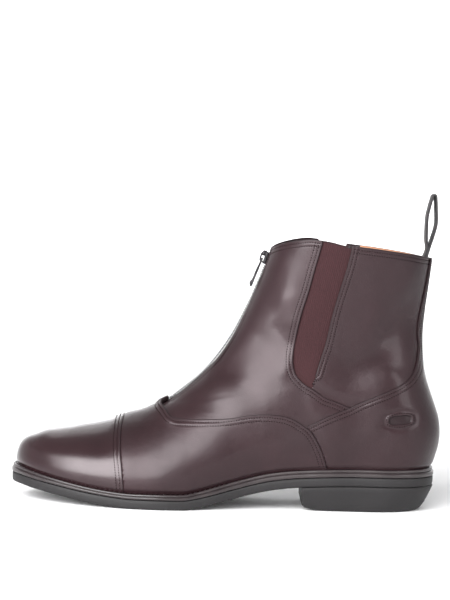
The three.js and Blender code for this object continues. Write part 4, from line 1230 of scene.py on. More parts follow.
class Slider(bpy.types.Operator):
    """Cast the zip's slider and its pull tab"""

    bl_idname = "boot.slider"
    bl_label = "Slider and pull tab"

    def execute(self, context):
        metal = finish_metal("Slider metal", worn=0.5)
        top, wide = 5.0, 4.2
        outline = rounded([(-2.9, -top), (2.9, -top), (3.3, 0), (wide, 1.6), (wide, 3.6), (2.2, 4.6), (0, top),
                           (-2.2, 4.6), (-wide, 3.6), (-wide, 1.6), (-3.3, 0)])
        face = plate_rings(outline, ((PLATE_BACK, 0.2), (PLATE_BACK + 0.15, 0), (PLATE_FACE - 0.3, 0),
                                     (PLATE_FACE - 0.08, 0.18), (PLATE_FACE, 0.5)))
        parts = [face]
        for side in (-1, 1):
            rim = arc_path([(0.2, side * 3.0, -4.4), (0.2, side * 3.4, -0.5), (0.2, side * 4.0, 2.0),
                            (0.2, side * 3.7, 3.9)], 14)
            wall = [np.array([[-0.3, -0.35, 0], [-0.3, 0.35, 0], [1.5, 0.35, 0], [1.5, -0.35, 0]]) + p for p in rim]
            parts.append(wall if side > 0 else [w[::-1] for w in wall])
        arch = arc_path([(1.6, 0, -3.4), (3.2, 0, -3.5), (4.05, 0, -3.0), (4.35, 0, -1.6), (4.4, 0, 0.6),
                         (4.2, 0, 2.2), (3.3, 0, 3.2), (1.6, 0, 3.4)], 26)
        parts.append(tube_loops(arch, 0.62, sides=12, flat=1.75))
        crown = plate_rings(rounded([(-1.1, -1.7), (1.1, -1.7), (1.15, 0.8), (0.8, 2.1), (-0.8, 2.1), (-1.15, 0.8)]),
                            ((PLATE_FACE - 0.1, 0), (PLATE_FACE + 1.4, 0.05), (PLATE_FACE + 1.9, 0.4)))
        parts.append([p + np.array([0, 0, 2.3]) for p in crown])
        body = joined("slider_body", [in_slider(np.array(p)) for p in parts], metal)
        settle(body, ["zip_slider"])
        rest = math.radians(5)
        half = 1.0
        low, eye = PIN_UP - 20.0, PIN_UP - 6.0

        def hung(points):
            points = np.asarray(points, float).copy()
            lift, up = points[..., 0] - PIN_LIFT, points[..., 2] - PIN_UP
            points[..., 0] = PIN_LIFT + lift * math.cos(rest) - up * math.sin(rest)
            points[..., 2] = PIN_UP + up * math.cos(rest) + lift * math.sin(rest)
            return in_slider(points)

        tab = rounded([(-1.9, eye + 0.6), (-1.5, eye - 4), (-1.9, low + 6), (-2.7, low + 4.6), (-2.7, low + 1.2),
                       (-1.7, low), (1.7, low), (2.7, low + 1.2), (2.7, low + 4.6), (1.9, low + 6), (1.5, eye - 4),
                       (1.9, eye + 0.6)])
        parts = [plate_rings(tab, ((PIN_LIFT - 0.8, 0.35), (PIN_LIFT - 0.6, 0.05), (PIN_LIFT, 0),
                                   (PIN_LIFT + 0.8, 0.05), (PIN_LIFT + 1.0, 0.35)))]
        grip = rounded([(-1.7, low + 1.3), (1.7, low + 1.3), (1.7, low + 4.4), (-1.7, low + 4.4)])
        parts.append(plate_rings(grip, ((PIN_LIFT - 0.9, 0.4), (PIN_LIFT - 0.7, 0.1), (PIN_LIFT + 1.4, 0.1),
                                        (PIN_LIFT + 1.7, 0.5))))
        for side in (-1, 1):
            arm = arc_path([(PIN_LIFT, side * 1.5, eye + 0.2), (PIN_LIFT, side * 2.1, eye + 2.4),
                            (PIN_LIFT, side * 2.15, PIN_UP - 0.8), (PIN_LIFT, side * 2.0, PIN_UP + 0.1),
                            (PIN_LIFT, side * 1.2, PIN_UP + 0.35)], 16)
            parts.append(tube_loops(arm, 0.75, sides=10))
        pin = [(PIN_LIFT, y, PIN_UP) for y in np.linspace(-1.9, 1.9, 6)]
        turn = np.linspace(0, 2 * np.pi, 12, endpoint=False)
        loop = np.stack([np.cos(turn) * 0.5, np.zeros(12), np.sin(turn) * 0.5], 1)
        parts.append([loop + np.array(p) for p in pin])
        pull = joined("pull_tab", [hung(np.array(p)) for p in parts], metal)
        settle(pull, ["zip_pull"], PULL)
        for piece in (body, pull):
            recalculate(piece)
        return {"FINISHED"}


def recalculate(piece):
    """Turns all faces of closed bodies outwards."""
    work = bmesh.new()
    work.from_mesh(piece.data)
    bmesh.ops.recalc_face_normals(work, faces=work.faces)
    work.to_mesh(piece.data)
    work.free()


LOOP_HEIGHT, LOOP_OPENING, LOOP_TAIL = 37, 6.4, 14
LOOP_LEAN, LOOP_RIM, LOOP_NECK = 0.6, 1.6, 4
WEBBING_WIDTH, WEBBING_THICKNESS = 17, 1.7
COLLAR_BACK = float(collar_height(HEEL_SET - HEEL_CURVE * (1 - BACK_LINE["bulge"][-1])))

# The loop's middle from the front strand over its tip to the back strand.
LOOP_LINE = table("set up", [
    (-0.1, 0), (-0.2, 0.165), (-0.22, 0.33), (-0.2, 0.57), (-0.05, 0.725), (0.25, 0.935), (0.36, 0.985),
    (0.5, 1), (0.62, 0.975), (0.66, 0.93), (0.73, 0.73), (0.79, 0.54), (0.73, 0.42), (0.42, 0.21),
    (0.12, 0.04),
])


class PullLoop(bpy.types.Operator):
    """Fold the webbing loop and sew it inside the collar's back"""

    bl_idname = "boot.pull_loop"
    bl_label = "Pull loop"

    def execute(self, context):
        material = finish_webbing()

        def wall(z):
            return BACK_MIDDLE(ring_at_height(BACK_MIDDLE, z))[0] - WALL - GAP

        inner_top, foot = wall(COLLAR_BACK), COLLAR_BACK - LOOP_TAIL
        joint_x, joint_z = inner_top + LOOP_LEAN, COLLAR_BACK + LOOP_RIM + LOOP_NECK
        places = [(wall(foot) - 2.7, foot), (inner_top - 2.6, COLLAR_BACK - 2)]
        places += zip(joint_x + LOOP_LINE["set"] * LOOP_OPENING, joint_z + LOOP_LINE["up"] * LOOP_HEIGHT)
        places += [(inner_top - 0.95, COLLAR_BACK - 2), (wall(foot) - 0.95, foot)]
        path = np.array(places)
        path = arc_path(np.stack([path[:, 0], np.zeros(len(path)), path[:, 1]], 1), 170)
        tangent = unit(np.gradient(path, axis=0))
        normal = np.cross(tangent, np.array([0.0, 1.0, 0.0]))
        half, thick = WEBBING_WIDTH / 2, 0.8
        section = [(-half, 0), (-half + 0.3, 0.8), (-half + 1.2, 1.0)]
        section += [(u, 1.0) for u in np.linspace(-half + 2.4, half - 2.4, 9)]
        section += [(half - 1.2, 1.0), (half - 0.3, 0.8), (half, 0)]
        section += [(u, -v) for u, v in section[1:-1][::-1]]
        section = np.array(section)
        loops = [p + section[:, :1] * np.array([0.0, 1.0, 0.0]) + section[:, 1:] * thick * n
                 for p, n in zip(path, normal)]
        piece = swept("webbing_loop", loops, material)
        recalculate(piece)
        weave = piece.data.uv_layers.new(name="weave")
        count = len(section)
        runs = np.concatenate([[0], np.cumsum(np.linalg.norm(np.diff(path, axis=0), axis=1))])
        corners = np.zeros(len(piece.data.loops), int)
        piece.data.loops.foreach_get("vertex_index", corners)
        uv = np.stack([section[corners % count, 0], runs[corners // count]], 1)
        weave.data.foreach_set("uv", uv.reshape(-1))
        settle(piece, ["pull_loop"])
        box = []
        for y0, z0, y1, z1 in ((-7, -3, 7, -3), (7, -3, 7, -12), (7, -12, -7, -12), (-7, -12, -7, -3),
                               (-7, -3, 7, -12), (7, -3, -7, -12)):
            share = np.linspace(0, 1, 24)
            z = COLLAR_BACK + mix(z0, z1, share)
            x = np.array([wall(h) for h in z]) - 3.5
            points = np.stack([x, mix(y0, y1, share), z], 1)
            box.append((points, np.tile([-1.0, 0.0, 0.0], (24, 1))))
        sew("stitches_loop", box, ["pull_loop"], finish_thread(), seed=9)
        return {"FINISHED"}


def plan_loop(reach, steps=150):
    """The feather line in plan, moved outwards by a reach that may change along the boot."""
    end = BACK_MIDDLE(0.0)[0]
    along = (1 - np.cos(np.arange(steps + 1) * np.pi / steps)) / 2
    half, swing, tuck = plan_width(along)
    x = mix(TOE_X, end, along)
    outer = np.stack([x, swing - half * (1 - tuck)], 1)
    inner = np.stack([x, swing + half * (1 - tuck)], 1)[1:-1][::-1]
    loop = np.concatenate([outer, inner])
    run = unit(np.roll(loop, -1, axis=0) - np.roll(loop, 1, axis=0))
    out = reach(loop[:, 0]) if callable(reach) else np.full(len(loop), float(reach))
    return loop + np.stack([run[:, 1], -run[:, 0]], 1) * out[:, None]


def welt_reach(x):
    return mix(WELT_REACH, SEAT_REACH, smooth(x_along(0.36), x_along(0.52), x))


def edge_loops(profile):
    """Loops round the sole from rows of reach and height; both are functions of x."""
    loops = []
    for reach, height in profile:
        plan = plan_loop(reach)
        loops.append(np.column_stack([plan, height(plan[:, 0])]))
    return loops


def capped(name, loops, material, ends=(True, True)):
    """Loops round the sole as a closed body, its ends closed by strips across."""
    count = len(loops[0])
    faces = [tuple(f) for f in grid_triangles(len(loops), count)]
    for start, flip, wanted in ((0, True, ends[0]), ((len(loops) - 1) * count, False, ends[1])):
        for i in range(count // 2):
            a, b = start + i, start + i + 1
            c, d = start + count - i - 1, start + (count - i) % count
            face = (a, b, c, d) if i else (a, b, c)
            if i == count // 2 - 1:
                face = (a, b, d)
            if wanted:
                faces.append(face[::-1] if flip else face)
    piece = new_object(name, np.concatenate(loops), faces, material)
    recalculate(piece)
    return piece


class Sole(bpy.types.Operator):
    """Mould the welt, the outsole and the heel"""

    bl_idname = "boot.sole"
    bl_label = "Welt, outsole and heel"

    def execute(self, context):
        rubber, welt_material = finish_rubber(), finish_welt()

        def bottom(lift):
            return lambda x: sole_layers(x)[0] + lift

        def groove(lift):
            return lambda x: sole_layers(x)[1] + lift

        def reach(out):
            return lambda x: welt_reach(x) + out

        def within_welt(share, lift=0.0):
            return lambda x: mix(sole_layers(x)[1] + GAP / 2, feather(x) - GAP / 2, share) + lift

        side = -WELT_STEP / 3
        outsole = capped("outsole_unit", edge_loops([
            (reach(side - 4), groove(-0.2)), (reach(side - 0.7), groove(-0.2)), (reach(side - 0.2), groove(-0.4)),
            (reach(side), groove(-0.9)), (reach(side), groove(-3)), (reach(side - 0.1), bottom(1.6)),
            (reach(side - 0.3), bottom(0.7)), (reach(side - 0.8), bottom(0.15)), (reach(side - 1.5), bottom(0)),
        ]), rubber)
        settle(outsole, ["outsole"])
        step = -WELT_STEP
        top = 0.55
        welt = edge_loops([
            (-8, within_welt(1, -0.3)), (reach(step - 2.2), within_welt(1, -0.05)),
            (reach(step - 0.5), within_welt(1, 0)), (reach(step - 0.1), within_welt(1, -0.3)),
            (reach(step + 0.05), within_welt(1, -0.8)), (reach(step), within_welt(top, 0.25)),
            (reach(step - 0.35), within_welt(top, 0.05)), (reach(step - 0.3), within_welt(top, -0.15)),
            (reach(-0.15), within_welt(top, -0.25)), (reach(0), within_welt(top, -0.6)),
            (reach(0), within_welt(0, 0.6)), (reach(-0.25), within_welt(0, 0.15)), (reach(-0.8), within_welt(0)),
            (-8, within_welt(0)),
        ])
        count = len(welt[0])
        faces = [tuple(f) for f in grid_triangles(len(welt), count)]
        last = (len(welt) - 1) * count
        faces += [(last + j, last + (j + 1) % count, (j + 1) % count, j) for j in range(count)]
        piece = new_object("welt_strip", np.concatenate(welt), faces, welt_material)
        recalculate(piece)
        settle(piece, ["welt"])
        row = plan_loop(lambda x: welt_reach(x) + step - 1.7, 400)
        row = row[row[:, 0] < x_along(0.5)]
        cut = int(np.argmax(np.abs(np.diff(row[:, 1])))) + 1
        row = np.roll(row, -cut, axis=0)
        points = np.column_stack([row, within_welt(1, 0.02)(row[:, 0])])
        sew("stitches_welt", [(points, np.tile([0.0, 0.0, 1.0], (len(points), 1)))], ["welt"],
            finish_thread(), pitch=0.0034, thread=0.0007, seed=11)
        self.heel(rubber, side)
        return {"FINISHED"}

    def heel(self, material, side):
        """The heel block narrows to its tread, and its breast is upright."""
        breast = HEEL_SET - HEEL_LENGTH
        tread = Curve([breast - 1, breast + 0.4, breast + 1.6, breast + 6.5, breast + 16, -12, 80],
                      [4.2, 3.9, 2.6, 1.2, 0.45, 0, 0])
        loops = []
        profile = ((0, 1, 2.2), (0, 1, 1), (0.03, 0.97, 0.25), (0.09, 0.87, 0), (0.3, 0.58, 0),
                   (0.55, 0.34, 0), (0.8, 0.13, 0), (0.96, 0, 0), (1, 0, 0.2))

        def narrowing(x):
            return mix(HEEL_TAPER, HEEL_SLANT, smooth(0, HEEL_SET, x))

        for share, taper, inset in profile:
            plan = plan_loop(lambda x, t=taper, i=inset: welt_reach(x) + side - t * narrowing(x) - i, 200)
            plan = plan[plan[:, 0] > breast]
            cut = int(np.argmax(np.linalg.norm(np.roll(plan, -1, axis=0) - plan, axis=1))) + 1
            plan = np.roll(plan, -cut, axis=0)
            lead = np.stack([np.full(1, breast), plan[:1, 1]], 1)
            tail = np.stack([np.full(1, breast), plan[-1:, 1]], 1)
            chain = np.concatenate([lead, plan, tail])
            lengths = np.concatenate([[0], np.cumsum(np.linalg.norm(np.diff(chain, axis=0), axis=1))])
            even = np.linspace(0, lengths[-1], 181)
            chain = np.stack([np.interp(even, lengths, chain[:, 0]), np.interp(even, lengths, chain[:, 1])], 1)
            across = np.linspace(1, 0, 31)[1:-1]
            front = np.stack([np.full(29, breast), mix(chain[0, 1], chain[-1, 1], across)], 1)
            plan = np.concatenate([chain, front])
            low, high = tread(plan[:, 0])[0], sole_layers(plan[:, 0])[0] - 0.1
            loops.append(np.column_stack([plan, mix(low, high, share)]))
        count = len(loops[0])
        faces = [tuple(f) for f in grid_triangles(len(loops), count)]
        for start in (0, (len(loops) - 1) * count):
            for i in range(90):
                faces.append((start + i, start + i + 1, start + 179 - i, start + 180 - i))
            faces.append(tuple(start + i for i in (0, *range(180, 210))))
        faces = [tuple(dict.fromkeys(f)) for f in faces]
        piece = new_object("heel_block", np.concatenate(loops), [f for f in faces if len(f) > 2], material)
        recalculate(piece)
        settle(piece, ["heel"])


def new_material(name):
    """An empty material with its shader and object coordinates."""
    material = bpy.data.materials.new(name)
    material.use_nodes = True
    tree = material.node_tree
    tree.nodes.clear()
    shader = tree.nodes.new("ShaderNodeBsdfPrincipled")
    add_node(tree, "ShaderNodeOutputMaterial", {"Surface": shader.outputs[0]})
    place = add_node(tree, "ShaderNodeTexCoord").outputs["Object"]
    return material, tree, shader, place


def noise(tree, place, scale, detail=2.0, rough=0.5):
    return add_node(tree, "ShaderNodeTexNoise", {
        "Vector": place, "Scale": scale, "Detail": detail, "Roughness": rough,
    }).outputs["Fac"]


def ranged(tree, value, low, high, out_low=0.0, out_high=1.0):
    return add_node(tree, "ShaderNodeMapRange", {
        "Value": value, "From Min": low, "From Max": high, "To Min": out_low, "To Max": out_high,
    }).outputs["Result"]


def mixed(tree, share, first, second):
    """A colour between two, which are colours or sockets."""
    node = add_node(tree, "ShaderNodeMix", data_type="RGBA")
    for key, value in ((0, share), (6, first), (7, second)):
        if isinstance(value, bpy.types.NodeSocket):
            tree.links.new(value, node.inputs[key])
        else:
            node.inputs[key].default_value = value
    return node.outputs[2]


def bumped(tree, height, distance, strength, under=None):
    inputs = {"Height": height, "Distance": distance, "Strength": strength}
    if under:
        inputs["Normal"] = under
    return add_node(tree, "ShaderNodeBump", inputs).outputs["Normal"]


def shade(colour, factor):
    return tuple(c * factor for c in colour[:3]) + (1.0,)


def finish_leather(name, roughness=None, coat=None):
    """Smooth, pull-up calf leather: fine grain, soft gloss, and painted shade along the seams."""
    sizes = bpy.context.scene.boot_leather
    material, tree, shader, place = new_material(name)
    colour = tuple(sizes.colour) + (1.0,)
    cloud = ranged(tree, noise(tree, place, 26, 3), 0.3, 0.7)
    fine = ranged(tree, noise(tree, place, 420, 3, 0.6), 0.3, 0.7)
    tone = mixed(tree, cloud, shade(colour, 0.82), shade(colour, 1.16))
    tone = mixed(tree, ranged(tree, fine, 0, 1, 0, 0.22), tone, shade(colour, 0.62))
    seam = add_node(tree, "ShaderNodeAttribute", attribute_name="seam").outputs["Fac"]
    # Painted shade: the colour is mixed towards a deep tone near the seams and in the counter's pressed oval, standing
    # in for the shadow at the seam edges and in the recess; the same mask also makes the leather rougher there.
    seam_shade = ranged(tree, seam, 0.15, 1.1, 0.8, 0.0)
    tone = mixed(tree, seam_shade, tone, shade(colour, 0.45))
    tree.links.new(tone, shader.inputs["Base Color"])
    rough = sizes.roughness if roughness is None else roughness
    uneven = ranged(tree, noise(tree, place, 60, 4, 0.6), 0.25, 0.75, rough - 0.05, rough + 0.08)
    dull = add_node(tree, "ShaderNodeMath", {0: seam_shade, 1: 0.5, 2: uneven}, operation="MULTIPLY_ADD")
    tree.links.new(dull.outputs[0], shader.inputs["Roughness"])
    cells = add_node(tree, "ShaderNodeTexVoronoi", {"Vector": place, "Scale": 0.001 / sizes.grain * 1000},
                     feature="DISTANCE_TO_EDGE").outputs["Distance"]
    pores = ranged(tree, cells, 0.0, 0.25)
    grain = bumped(tree, pores, 0.00012, 0.22)
    soft = bumped(tree, noise(tree, place, 330, 4, 0.6), 0.0005, 0.24, grain)
    tree.links.new(bumped(tree, noise(tree, place, 45, 2), 0.0016, 0.22, soft), shader.inputs["Normal"])
    shader.inputs["Coat Weight"].default_value = sizes.coat if coat is None else coat
    shader.inputs["Coat Roughness"].default_value = 0.2
    shader.inputs["Coat IOR"].default_value = 1.45
    shader.inputs["Specular IOR Level"].default_value = 0.27
    shader.inputs["Specular Tint"].default_value = (1.0, 0.86, 0.91, 1.0)
    return material


def finish_thread():
    """Waxed thread, deeper in tone than the leather: partly its own colour, partly painted shade standing in for the
    shadow in the needle holes.
    """
    material, tree, shader, place = new_material("Waxed thread")
    # Painted shade: the thread colour is set below the leather's so that the stitches also stand for the shadowed
    # needle holes.
    colour = tuple(bpy.context.scene.boot_sewing.colour) + (1.0,)
    twist = add_node(tree, "ShaderNodeTexWave", {"Vector": place, "Scale": 700.0, "Distortion": 1.5}).outputs["Fac"]
    tree.links.new(mixed(tree, twist, shade(colour, 0.6), shade(colour, 1.3)), shader.inputs["Base Color"])
    tree.links.new(bumped(tree, twist, 0.0001, 0.5), shader.inputs["Normal"])
    tree.links.new(ranged(tree, noise(tree, place, 300), 0.3, 0.7, 0.6, 0.75), shader.inputs["Roughness"])
    shader.inputs["Specular IOR Level"].default_value = 0.1
    return material


def finish_elastic():
    material, tree, shader, place = new_material("Gore elastic")
    colour = tuple(bpy.context.scene.boot_elastic.colour) + (1.0,)
    yarn = noise(tree, place, 1500, 3, 0.7)
    across = add_node(tree, "ShaderNodeTexWave", {"Vector": place, "Scale": 620.0, "Distortion": 1.2},
                      bands_direction="Z").outputs["Fac"]
    tone = mixed(tree, ranged(tree, yarn, 0.3, 0.7), shade(colour, 0.7), shade(colour, 1.35))
    tone = mixed(tree, ranged(tree, across, 0, 1, 0, 0.15), tone, shade(colour, 0.6))
    tone = mixed(tree, ranged(tree, noise(tree, place, 40, 2), 0.35, 0.65, 0, 0.25), tone, shade(colour, 1.3))
    tree.links.new(tone, shader.inputs["Base Color"])
    under = bumped(tree, across, 0.0002, 0.15)
    tree.links.new(bumped(tree, yarn, 0.0002, 0.5, under), shader.inputs["Normal"])
    tree.links.new(ranged(tree, yarn, 0.2, 0.8, 0.82, 0.98), shader.inputs["Roughness"])
    shader.inputs["Sheen Weight"].default_value = 0.06
    shader.inputs["Sheen Roughness"].default_value = 0.5
    shader.inputs["Specular IOR Level"].default_value = 0.2
    return material


def finish_lining():
    material, tree, shader, place = new_material("Tan lining leather")
    colour = (0.42, 0.19, 0.095, 1.0)
    cloud = noise(tree, place, 40, 4, 0.6)
    nap = noise(tree, place, 900, 3, 0.7)
    tone = mixed(tree, ranged(tree, cloud, 0.3, 0.7), shade(colour, 0.8), shade(colour, 1.12))
    tone = mixed(tree, ranged(tree, nap, 0.3, 0.7, 0, 0.35), tone, shade(colour, 0.7))
    tree.links.new(tone, shader.inputs["Base Color"])
    tree.links.new(bumped(tree, nap, 0.0003, 0.35), shader.inputs["Normal"])
    tree.links.new(ranged(tree, cloud, 0.3, 0.7, 0.62, 0.8), shader.inputs["Roughness"])
    return material


def finish_rubber():
    material, tree, shader, place = new_material("Sole rubber")
    colour = tuple(bpy.context.scene.boot_sole.rubber) + (1.0,)
    cloud = noise(tree, place, 30, 4, 0.6)
    dust = noise(tree, place, 700, 4, 0.7)
    tone = mixed(tree, ranged(tree, cloud, 0.3, 0.7), shade(colour, 0.85), shade(colour, 1.12))
    tone = mixed(tree, ranged(tree, dust, 0.45, 0.75, 0, 0.3), tone, shade(colour, 1.4))
    tree.links.new(tone, shader.inputs["Base Color"])
    tree.links.new(bumped(tree, dust, 0.00015, 0.3), shader.inputs["Normal"])
    tree.links.new(ranged(tree, cloud, 0.3, 0.7, 0.5, 0.64), shader.inputs["Roughness"])
    shader.inputs["Specular IOR Level"].default_value = 0.3
    return material


def finish_welt():
    material, tree, shader, place = new_material("Welt")
    colour = tuple(bpy.context.scene.boot_sole.welt) + (1.0,)
    cloud = noise(tree, place, 60, 4, 0.6)
    fine = noise(tree, place, 800, 3, 0.6)
    tone = mixed(tree, ranged(tree, cloud, 0.3, 0.7), shade(colour, 0.75), shade(colour, 1.25))
    tree.links.new(tone, shader.inputs["Base Color"])
    tree.links.new(bumped(tree, fine, 0.00015, 0.3), shader.inputs["Normal"])
    tree.links.new(ranged(tree, cloud, 0.3, 0.7, 0.3, 0.46), shader.inputs["Roughness"])
    shader.inputs["Coat Weight"].default_value = 0.2
    shader.inputs["Coat Roughness"].default_value = 0.25
    return material


def finish_metal(name, worn=0.25, metallic=0.85):
    """Blackened zinc, brighter where it is rubbed."""
    material, tree, shader, place = new_material(name)
    colour = tuple(bpy.context.scene.boot_zip.metal) + (1.0,)
    rub = ranged(tree, noise(tree, place, 500, 4, 0.65), 0.5, 0.75, 0, worn)
    tree.links.new(mixed(tree, rub, colour, shade(colour, 4.5)), shader.inputs["Base Color"])
    fine = noise(tree, place, 2400, 2)
    tree.links.new(bumped(tree, fine, 0.00005, 0.4), shader.inputs["Normal"])
    tree.links.new(ranged(tree, fine, 0.3, 0.7, 0.34, 0.48), shader.inputs["Roughness"])
    shader.inputs["Metallic"].default_value = metallic
    return material


def finish_tape():
    material, tree, shader, place = new_material("Zip tape")
    colour = (0.02, 0.013, 0.014, 1.0)
    weave = add_node(tree, "ShaderNodeTexWave", {"Vector": place, "Scale": 900.0, "Distortion": 0.6},
                     bands_direction="DIAGONAL").outputs["Fac"]
    fuzz = noise(tree, place, 1400, 2)
    tone = mixed(tree, ranged(tree, weave, 0, 1, 0, 0.6), shade(colour, 0.8), shade(colour, 1.8))
    tree.links.new(mixed(tree, ranged(tree, fuzz, 0.4, 0.7, 0, 0.3), tone, shade(colour, 2.4)),
                   shader.inputs["Base Color"])
    tree.links.new(bumped(tree, weave, 0.0002, 0.5), shader.inputs["Normal"])
    tree.links.new(ranged(tree, fuzz, 0.3, 0.7, 0.7, 0.85), shader.inputs["Roughness"])
    return material


def finish_webbing():
    material, tree, shader, _ = new_material("Black webbing")
    place = add_node(tree, "ShaderNodeUVMap", uv_map="weave").outputs[0]
    warp = add_node(tree, "ShaderNodeTexWave", {"Vector": place, "Scale": 0.28, "Distortion": 0.3},
                    bands_direction="X").outputs["Fac"]
    weft = add_node(tree, "ShaderNodeTexWave", {"Vector": place, "Scale": 0.34, "Distortion": 0.5},
                    bands_direction="Y").outputs["Fac"]
    woven = add_node(tree, "ShaderNodeMath", {0: warp, 1: weft}, operation="MULTIPLY").outputs[0]
    tree.links.new(mixed(tree, woven, (0.006, 0.005, 0.006, 1), (0.026, 0.023, 0.025, 1)),
                   shader.inputs["Base Color"])
    tree.links.new(bumped(tree, woven, 0.0003, 0.6), shader.inputs["Normal"])
    tree.links.new(ranged(tree, woven, 0, 1, 0.6, 0.8), shader.inputs["Roughness"])
    return material


def bowl(radius, rise, turns=96):
    """A pale studio floor that curves up into a wall all round."""
    profile = [(0.0, 0.0), (0.6, 0.0), (1.4, 0.0), (radius * 0.7, 0.0)]
    profile += [(radius * (0.7 + 0.3 * math.sin(a)), rise * (1 - math.cos(a)))
                for a in np.linspace(0.1, math.pi / 2, 14)]
    points = [(0.0, 0.0, 0.0)]
    for r, z in profile[1:]:
        points += [(r * math.cos(t), r * math.sin(t), z) for t in np.linspace(0, 2 * math.pi, turns, endpoint=False)]
    faces = [(0, 1 + j, 1 + (j + 1) % turns) for j in range(turns)]
    rows = len(profile) - 1
    faces += [tuple(int(i) + 1 for i in f) for f in grid_triangles(rows, turns)[:, ::-1]]
    return np.array(points), faces


class Studio(bpy.types.Operator):
    """Set the camera, the pale floor and the soft lights"""

    bl_idname = "boot.studio"
    bl_label = "Camera, floor and lights"

    def execute(self, context):
        studio = context.scene.boot_studio
        scene = context.scene
        target = Vector((-0.0956, 0.0, 0.13735))
        tilt = studio.elevation
        back = Vector((0.0, -math.cos(tilt), math.sin(tilt)))
        right = Vector((0.0, 0.0, 1.0)).cross(back).normalized()
        up = back.cross(right)
        roll = studio.roll
        turned_right = right * math.cos(roll) + up * math.sin(roll)
        turned_up = up * math.cos(roll) - right * math.sin(roll)
        data = bpy.data.cameras.new("Camera")
        camera = bpy.data.objects.new("Camera", data)
        scene.collection.objects.link(camera)
        axes = Matrix((turned_right, turned_up, back)).transposed().to_4x4()
        camera.matrix_world = Matrix.Translation(target + back * studio.distance) @ axes
        frame_height = 600
        metres_per_pixel = 0.000678
        data.sensor_width = 36.0
        data.lens = studio.distance / metres_per_pixel / frame_height * data.sensor_width
        data.clip_start, data.clip_end = 0.05, 40.0
        scene.camera = camera

        floor_material, tree, shader, place = new_material("Pale floor")
        tone = mixed(tree, ranged(tree, noise(tree, place, 3), 0.3, 0.7), (0.86, 0.86, 0.87, 1), (0.9, 0.9, 0.9, 1))
        # Painted shade: the bowl turns grey on the camera's side, standing in for the unlit room there, so that the
        # boot reflects less light from that side.
        depth = add_node(tree, "ShaderNodeSeparateXYZ", {"Vector": place}).outputs["Y"]
        tone = mixed(tree, ranged(tree, depth, -3.4, -1.6), (0.2, 0.2, 0.205, 1), tone)
        tree.links.new(tone, shader.inputs["Base Color"])
        shader.inputs["Roughness"].default_value = 0.9
        points, faces = bowl(4.5, 3.0)
        floor = new_object("floor", points / MM, faces, floor_material)

        world = bpy.data.worlds.new("Studio")
        world.use_nodes = True
        world.node_tree.nodes["Background"].inputs["Color"].default_value = (1.0, 1.0, 1.0, 1.0)
        world.node_tree.nodes["Background"].inputs["Strength"].default_value = studio.dome
        scene.world = world
        boot, wall = (-0.09, 0.0, 0.07), (-0.1, 4.4, 0.3)
        for name, place, size, power, aim in (
            ("Key", (-1.05, -1.7, 1.0), (2.3, 1.6), studio.key, boot),
            ("Fill", (1.5, -1.3, 0.8), (0.7, 1.2), studio.fill, boot),
            ("Back", (0.0, 1.6, 1.7), (2.0, 1.0), studio.rim, boot),
            ("Wall", (-0.1, 2.9, 1.9), (1.4, 0.7), studio.wall, wall),
        ):
            light = bpy.data.lights.new(name, "AREA")
            light.shape = "RECTANGLE"
            light.size, light.size_y = size
            light.energy = power
            lamp = bpy.data.objects.new(name, light)
            scene.collection.objects.link(lamp)
            lamp.location = place
            lamp.rotation_mode = "QUATERNION"
            lamp.rotation_quaternion = (Vector(aim) - Vector(place)).to_track_quat("-Z", "Y")
        scene.view_settings.view_transform = "Standard"
        return {"FINISHED"}


def number(name, description, default, **more):
    return bpy.props.FloatProperty(name=name, description=description, default=default, **more)


def colour_property(name, description, default):
    return bpy.props.FloatVectorProperty(
        name=name, description=description, default=default, subtype="COLOR", size=3, min=0, max=1)


class BootLeather(bpy.types.PropertyGroup):
    colour: colour_property("Colour", "Leather of the upper", (0.0165, 0.0075, 0.0088))
    roughness: number("Roughness", "How matt the leather is", 0.36, min=0.05, max=1)
    coat: number("Polish", "Weight of the wax coat", 0.2, min=0, max=1)
    grain: number("Grain", "Width of one grain cell", 0.0011, unit="LENGTH", min=0.0002)


class BootSewing(bpy.types.PropertyGroup):
    pitch: number("Pitch", "From one stitch to the next", 0.0017, unit="LENGTH", min=0.0005)
    fill: number("Fill", "Share of the pitch that the stitch covers", 0.62, min=0.2, max=1)
    thread: number("Thread", "Thickness of the thread", 0.00075, unit="LENGTH", min=0.0001)
    # The thread's default colour is partly painted shade of the needle holes.
    colour: colour_property("Colour", "Colour of the thread", (0.009, 0.0035, 0.004))


class BootElastic(bpy.types.PropertyGroup):
    rib_pitch: number("Rib pitch", "From one rib of the elastic to the next", 0.0013, unit="LENGTH", min=0.0004)
    rib_height: number("Rib height", "Half the height of a rib", 0.00006, unit="LENGTH", min=0)
    colour: colour_property("Colour", "Colour of the elastic", (0.026, 0.009, 0.0105))


class BootZip(bpy.types.PropertyGroup):
    tooth_pitch: number("Tooth pitch", "From one tooth to the next on the same tape", 0.0028, unit="LENGTH", min=0.001)
    metal: colour_property("Metal", "Colour of the teeth and the slider", (0.026, 0.024, 0.026))


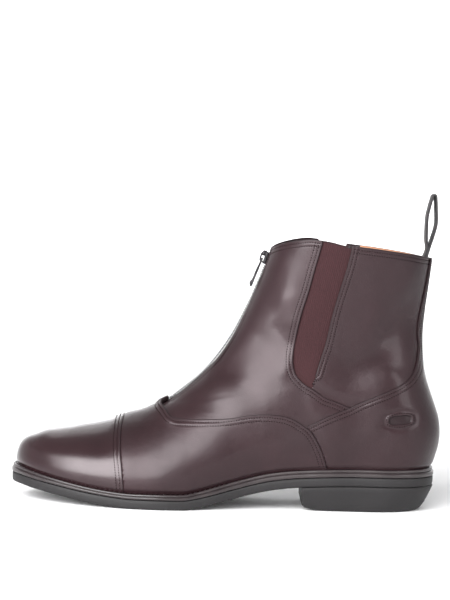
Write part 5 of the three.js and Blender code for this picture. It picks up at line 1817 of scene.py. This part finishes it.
class BootSole(bpy.types.PropertyGroup):
    rubber: colour_property("Rubber", "Colour of the outsole and the heel", (0.013, 0.0118, 0.0126))
    welt: colour_property("Welt", "Colour of the welt", (0.018, 0.012, 0.013))


class BootStudio(bpy.types.PropertyGroup):
    elevation: number("Elevation", "Camera's angle over the floor", math.radians(2.8), subtype="ANGLE")
    roll: number("Roll", "Camera's turn about its own axis", math.radians(1.8), subtype="ANGLE")
    distance: number("Distance", "Camera's distance from the boot", 1.5, unit="LENGTH", min=0.3)
    dome: number("Dome", "Strength of the white surroundings", 0.34, min=0)
    key: number("Key light", "Power of the soft light by the toe", 150.0, min=0)
    fill: number("Fill light", "Power of the soft light by the heel", 14.0, min=0)
    rim: number("Back light", "Power of the light from behind", 7.0, min=0)
    wall: number("Wall light", "Power of the light on the wall behind", 75.0, min=0)


class BootPanel(bpy.types.Panel):
    """Sizes, colours and steps of the boot"""

    bl_idname = "VIEW3D_PT_boot"
    bl_label = "Jodhpur boot"
    bl_space_type = "VIEW_3D"
    bl_region_type = "UI"
    bl_category = "Boot"

    def draw(self, context):
        for name, group in SETTINGS.items():
            box = self.layout.box()
            for key in group.__annotations__:
                box.prop(getattr(context.scene, name), key)
        for step in STEPS:
            self.layout.operator(step.bl_idname)


SETTINGS = {
    "boot_leather": BootLeather, "boot_sewing": BootSewing, "boot_elastic": BootElastic,
    "boot_zip": BootZip, "boot_sole": BootSole, "boot_studio": BootStudio,
}
STEPS = (Studio, QuarterPanels, VampPanels, Lining, Gores, Sewing, ZipChain, Slider, PullLoop, Sole)


def register():
    for item in (*SETTINGS.values(), *STEPS, BootPanel):
        bpy.utils.register_class(item)
    for name, group in SETTINGS.items():
        setattr(bpy.types.Scene, name, bpy.props.PointerProperty(type=group))


def unregister():
    for name in SETTINGS:
        delattr(bpy.types.Scene, name)
    for item in reversed((*SETTINGS.values(), *STEPS, BootPanel)):
        bpy.utils.unregister_class(item)


def main():
    register()
    for step in STEPS:
        getattr(bpy.ops.boot, step.bl_idname.split(".")[1])()


if __name__ == "__main__":
    main()
